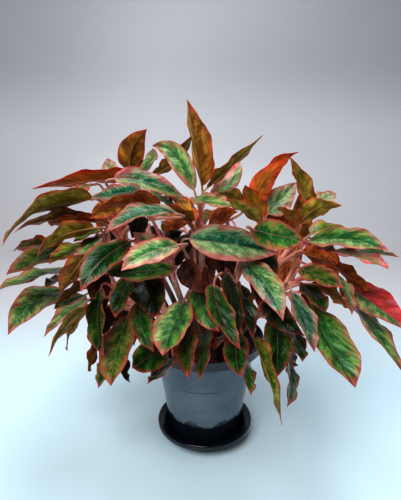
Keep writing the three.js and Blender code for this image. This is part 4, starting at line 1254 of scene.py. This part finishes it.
def pot_profile():
    """The outline of the pot's section."""
    foot, under, low, rim, collar, wall, step_height, step, floor, bottom = POT.values()
    shelf, at_step = low + wall, pot_radius(step_height)
    return [
        (0, floor - wall), (foot - 8, floor - wall), (foot - 7, bottom), (foot - 1.8, bottom),
        (foot + 0.4, bottom + 3), (at_step - step, step_height - 0.4), (at_step, step_height + 0.6),
        (under, low), (collar - 1, low), (collar, low + 1.4), (collar + 0.4, rim - 4),
        (collar + 1.4, rim - 2.6), (collar + 0.2, rim), (collar - 1.9, rim - 0.8),
        (collar - 2.9, shelf), (under - 1.4, shelf), (under - wall, shelf - 1.6),
        (at_step - wall, step_height + 0.6), (foot - wall + 0.7, floor), (0, floor),
    ]


def rounded(profile, radius):
    """The profile with every corner off the axis cut into a small round."""
    points = [np.array(p, float) for p in profile]
    made = [points[0]]
    for before, corner, after in zip(points, points[1:], points[2:]):
        back = np.linalg.norm(before - corner)
        ahead = np.linalg.norm(after - corner)
        cut = min(radius, 0.4 * back, 0.4 * ahead)
        a = corner + (before - corner) / back * cut
        b = corner + (after - corner) / ahead * cut
        for s in (0, 0.33, 0.67, 1):
            made.append((1 - s) ** 2 * a + 2 * s * (1 - s) * corner + s * s * b)
    return made + [points[-1]]


print("corners of the saucer's outline:", len(saucer_profile()), "- of the pot's:", len(pot_profile()))

# %% [markdown]
# ## Turning the pot and the saucer
#
# A profile is turned round the upright axis in many more facets than the coarse one, with small
# rounds at its corners, since a moulded edge is never sharp and its round catches a line of light.
# The pot's drain holes are cut with a boolean, because a profile can't have them.

# %% Turned and drilled solids
FACETS, HOLE_FACETS = 160, 24
SAUCER_ROUND, POT_ROUND = 1.2, 1.0  # mm
DRAIN_HOLES, DRAIN_RADIUS, DRAIN_CIRCLE = 6, 6, 50  # how many, and mm


def turned(name, profile, material):
    """A closed solid from a profile of radius and height that starts and ends on the axis."""
    a = np.arange(FACETS) * 2 * math.pi / FACETS
    rings = profile[1:-1]
    vertices = [(0, 0, profile[0][1]), (0, 0, profile[-1][1])]
    for r, z in rings:
        vertices += [(r * x, r * y, z) for x, y in zip(np.cos(a), np.sin(a))]
    last = 2 + (len(rings) - 1) * FACETS
    faces = []
    for k in range(FACETS):
        b = (k + 1) % FACETS
        faces.append((0, 2 + b, 2 + k))
        faces.append((1, last + k, last + b))
        for at in range(2, last, FACETS):
            faces.append((at + k, at + b, at + FACETS + b, at + FACETS + k))
    return mesh_object(name, vertices, faces, {}, material, 35)


def drill_holes(solid):
    """Cuts the upright drain holes through the pot's floor, evenly spaced on a circle."""
    a = np.arange(HOLE_FACETS) * 2 * math.pi / HOLE_FACETS
    vertices, faces = [], []
    for n in range(DRAIN_HOLES):
        turn = 2 * math.pi * (n + 0.5) / DRAIN_HOLES
        x = DRAIN_CIRCLE * math.cos(turn) + DRAIN_RADIUS * np.cos(a)
        y = DRAIN_CIRCLE * math.sin(turn) + DRAIN_RADIUS * np.sin(a)
        lower = [len(vertices) + k for k in range(HOLE_FACETS)]
        upper = [k + HOLE_FACETS for k in lower]
        for z in (0, 2 * POT["floor"]):
            vertices += [(*p, z) for p in zip(x, y)]
        faces += [lower[::-1], upper]
        for k in range(HOLE_FACETS):
            faces.append((lower[k - 1], lower[k], upper[k], upper[k - 1]))
    drill = mesh_object("drill", vertices, faces, {}, POT_PLASTIC)
    cut = solid.modifiers.new("holes", "BOOLEAN")
    cut.operation, cut.solver, cut.object = "DIFFERENCE", "EXACT", drill
    whole = solid.evaluated_get(bpy.context.evaluated_depsgraph_get())
    solid.data = bpy.data.meshes.new_from_object(whole)
    solid.modifiers.clear()
    bpy.data.objects.remove(drill)


saucer = turned("saucer_fine", rounded(saucer_profile(), SAUCER_ROUND), SAUCER_PLASTIC)
pot = turned("pot_fine", rounded(pot_profile(), POT_ROUND), POT_PLASTIC)
drill_holes(pot)
print("pot with holes:", len(pot.data.polygons), "faces")
for piece, node, finish in ((saucer, "saucer", "saucer"), (pot, "pot", "pot")):
    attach(piece, "root")
    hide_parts(node)

# %% Give the soil its peat
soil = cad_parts["soil"]
soil.data.materials.clear()
soil.data.materials.append(PEAT)
print("the soil keeps its coarse mesh of", len(soil.data.polygons), "faces")

# %% [markdown]
# ## The studio
#
# A pale matt floor curves up into a backdrop, so that no corner shows behind the plant. Two broad
# soft lights, a key from the front left and a weaker one above, and a faint sky give the soft
# shadows of a room with daylight.

# %% Floor and backdrop
def floor_material():
    """Painted board: cool and pale in front, greyer where it curves up, with faint clouds, and painted
    shade that darkens it higher up.
    """
    material, add = new_material("Pale painted board")
    where = add("TexCoord").outputs["Object"]
    _, y, z = add("SeparateXYZ", where).outputs
    share = add("MapRange", y, 0.15, 0.9, **SOFT)
    tone = add("Mix", share, paint("#cfe6ee"), paint("#d5d2d3"), **COLOUR)
    # Painted shade: from 0.55 m up, the backdrop is painted darker, for the light that falls off higher
    # up.
    share = add("MapRange", z, 0.55, 1.15, **SOFT)
    tone = add("Mix", share, tone, paint("#aeacad"), **COLOUR)
    cloud = add("TexNoise", where, per(330), 3.0, 0.55)
    share = add("MapRange", cloud, 0.3, 0.7, 0.0, 0.06, **SOFT)
    tone = add("Mix", share, tone, paint("#9fa6ad"), **COLOUR)
    grain = add("TexNoise", where, per(2.5), 3.0, 0.55)
    normal = add("Bump", Height=grain, Distance=0.2 * MM)
    add("OutputMaterial", add("BsdfPrincipled", tone, Roughness=0.4, Normal=normal))
    return material


def backdrop():
    """A floor that curves up into a wall, as one smooth sheet."""
    reach, top, turn, radius = 3.2, 3.2, 2.1, 0.6  # metres
    section = [(-2.6, 0.0), (turn - radius, 0.0)]
    for k in range(1, 13):
        a = math.radians(90 * k / 12)
        y = turn - radius + radius * math.sin(a)
        section.append((y, radius - radius * math.cos(a)))
    section.append((turn, top))
    vertices = [(x / MM, y / MM, z / MM) for y, z in section for x in (-reach, reach)]
    faces = [(2 * i, 2 * i + 1, 2 * i + 3, 2 * i + 2) for i in range(len(section) - 1)]
    return mesh_object("studio_floor", vertices, faces, {}, floor_material(), 60)


floor = backdrop()
print("the floor is", [round(v, 1) for v in floor.dimensions], "m")

# %% Lights
def area_light(name, place, aim, size, power, colour):
    """A square soft light at a place in metres, turned towards another, its power in watts."""
    data = bpy.data.lights.new(name, "AREA")
    data.energy, data.size, data.color = power, size, paint(colour)[:3]
    made = bpy.data.objects.new(name, data)
    bpy.context.scene.collection.objects.link(made)
    made.location = place
    made.rotation_euler = (Vector(aim) - Vector(place)).to_track_quat("-Z", "Y").to_euler()


area_light("key", (-0.65, -1.6, 2.0), (0, 0, 0.35), 1.3, 64, "#f8fbff")
area_light("top", (0.3, 0.1, 2.4), (0, 0, 0.3), 1.5, 42, "#f0f7ff")
world = bpy.data.worlds.new("Studio")
bpy.context.scene.world = world
world.use_nodes = True
world.node_tree.nodes["Background"].inputs[0].default_value = paint("#d9dde6")
world.node_tree.nodes["Background"].inputs[1].default_value = 0.1
print("lights: key and top, with a faint sky")

# %% [markdown]
# ## The camera
#
# It stands where the picture was taken from. The focal length in pixels becomes one in millimetres
# on Blender's sensor, whose 36 mm are the long side of the picture.

# %% Camera
camera_data = bpy.data.cameras.new("camera")
camera_data.lens = FOCAL / LONG_SIDE * camera_data.sensor_width
camera = bpy.data.objects.new("camera", camera_data)
bpy.context.scene.collection.objects.link(camera)
camera.location = EYE * MM
camera.rotation_euler = (math.radians(90) - PITCH, 0, 0)
camera_data.clip_start = 0.02
bpy.context.scene.camera = camera
bpy.context.scene.view_settings.view_transform = "Standard"
bpy.context.scene.view_settings.look = "Medium High Contrast"
print("lens:", round(camera_data.lens, 2), "mm")
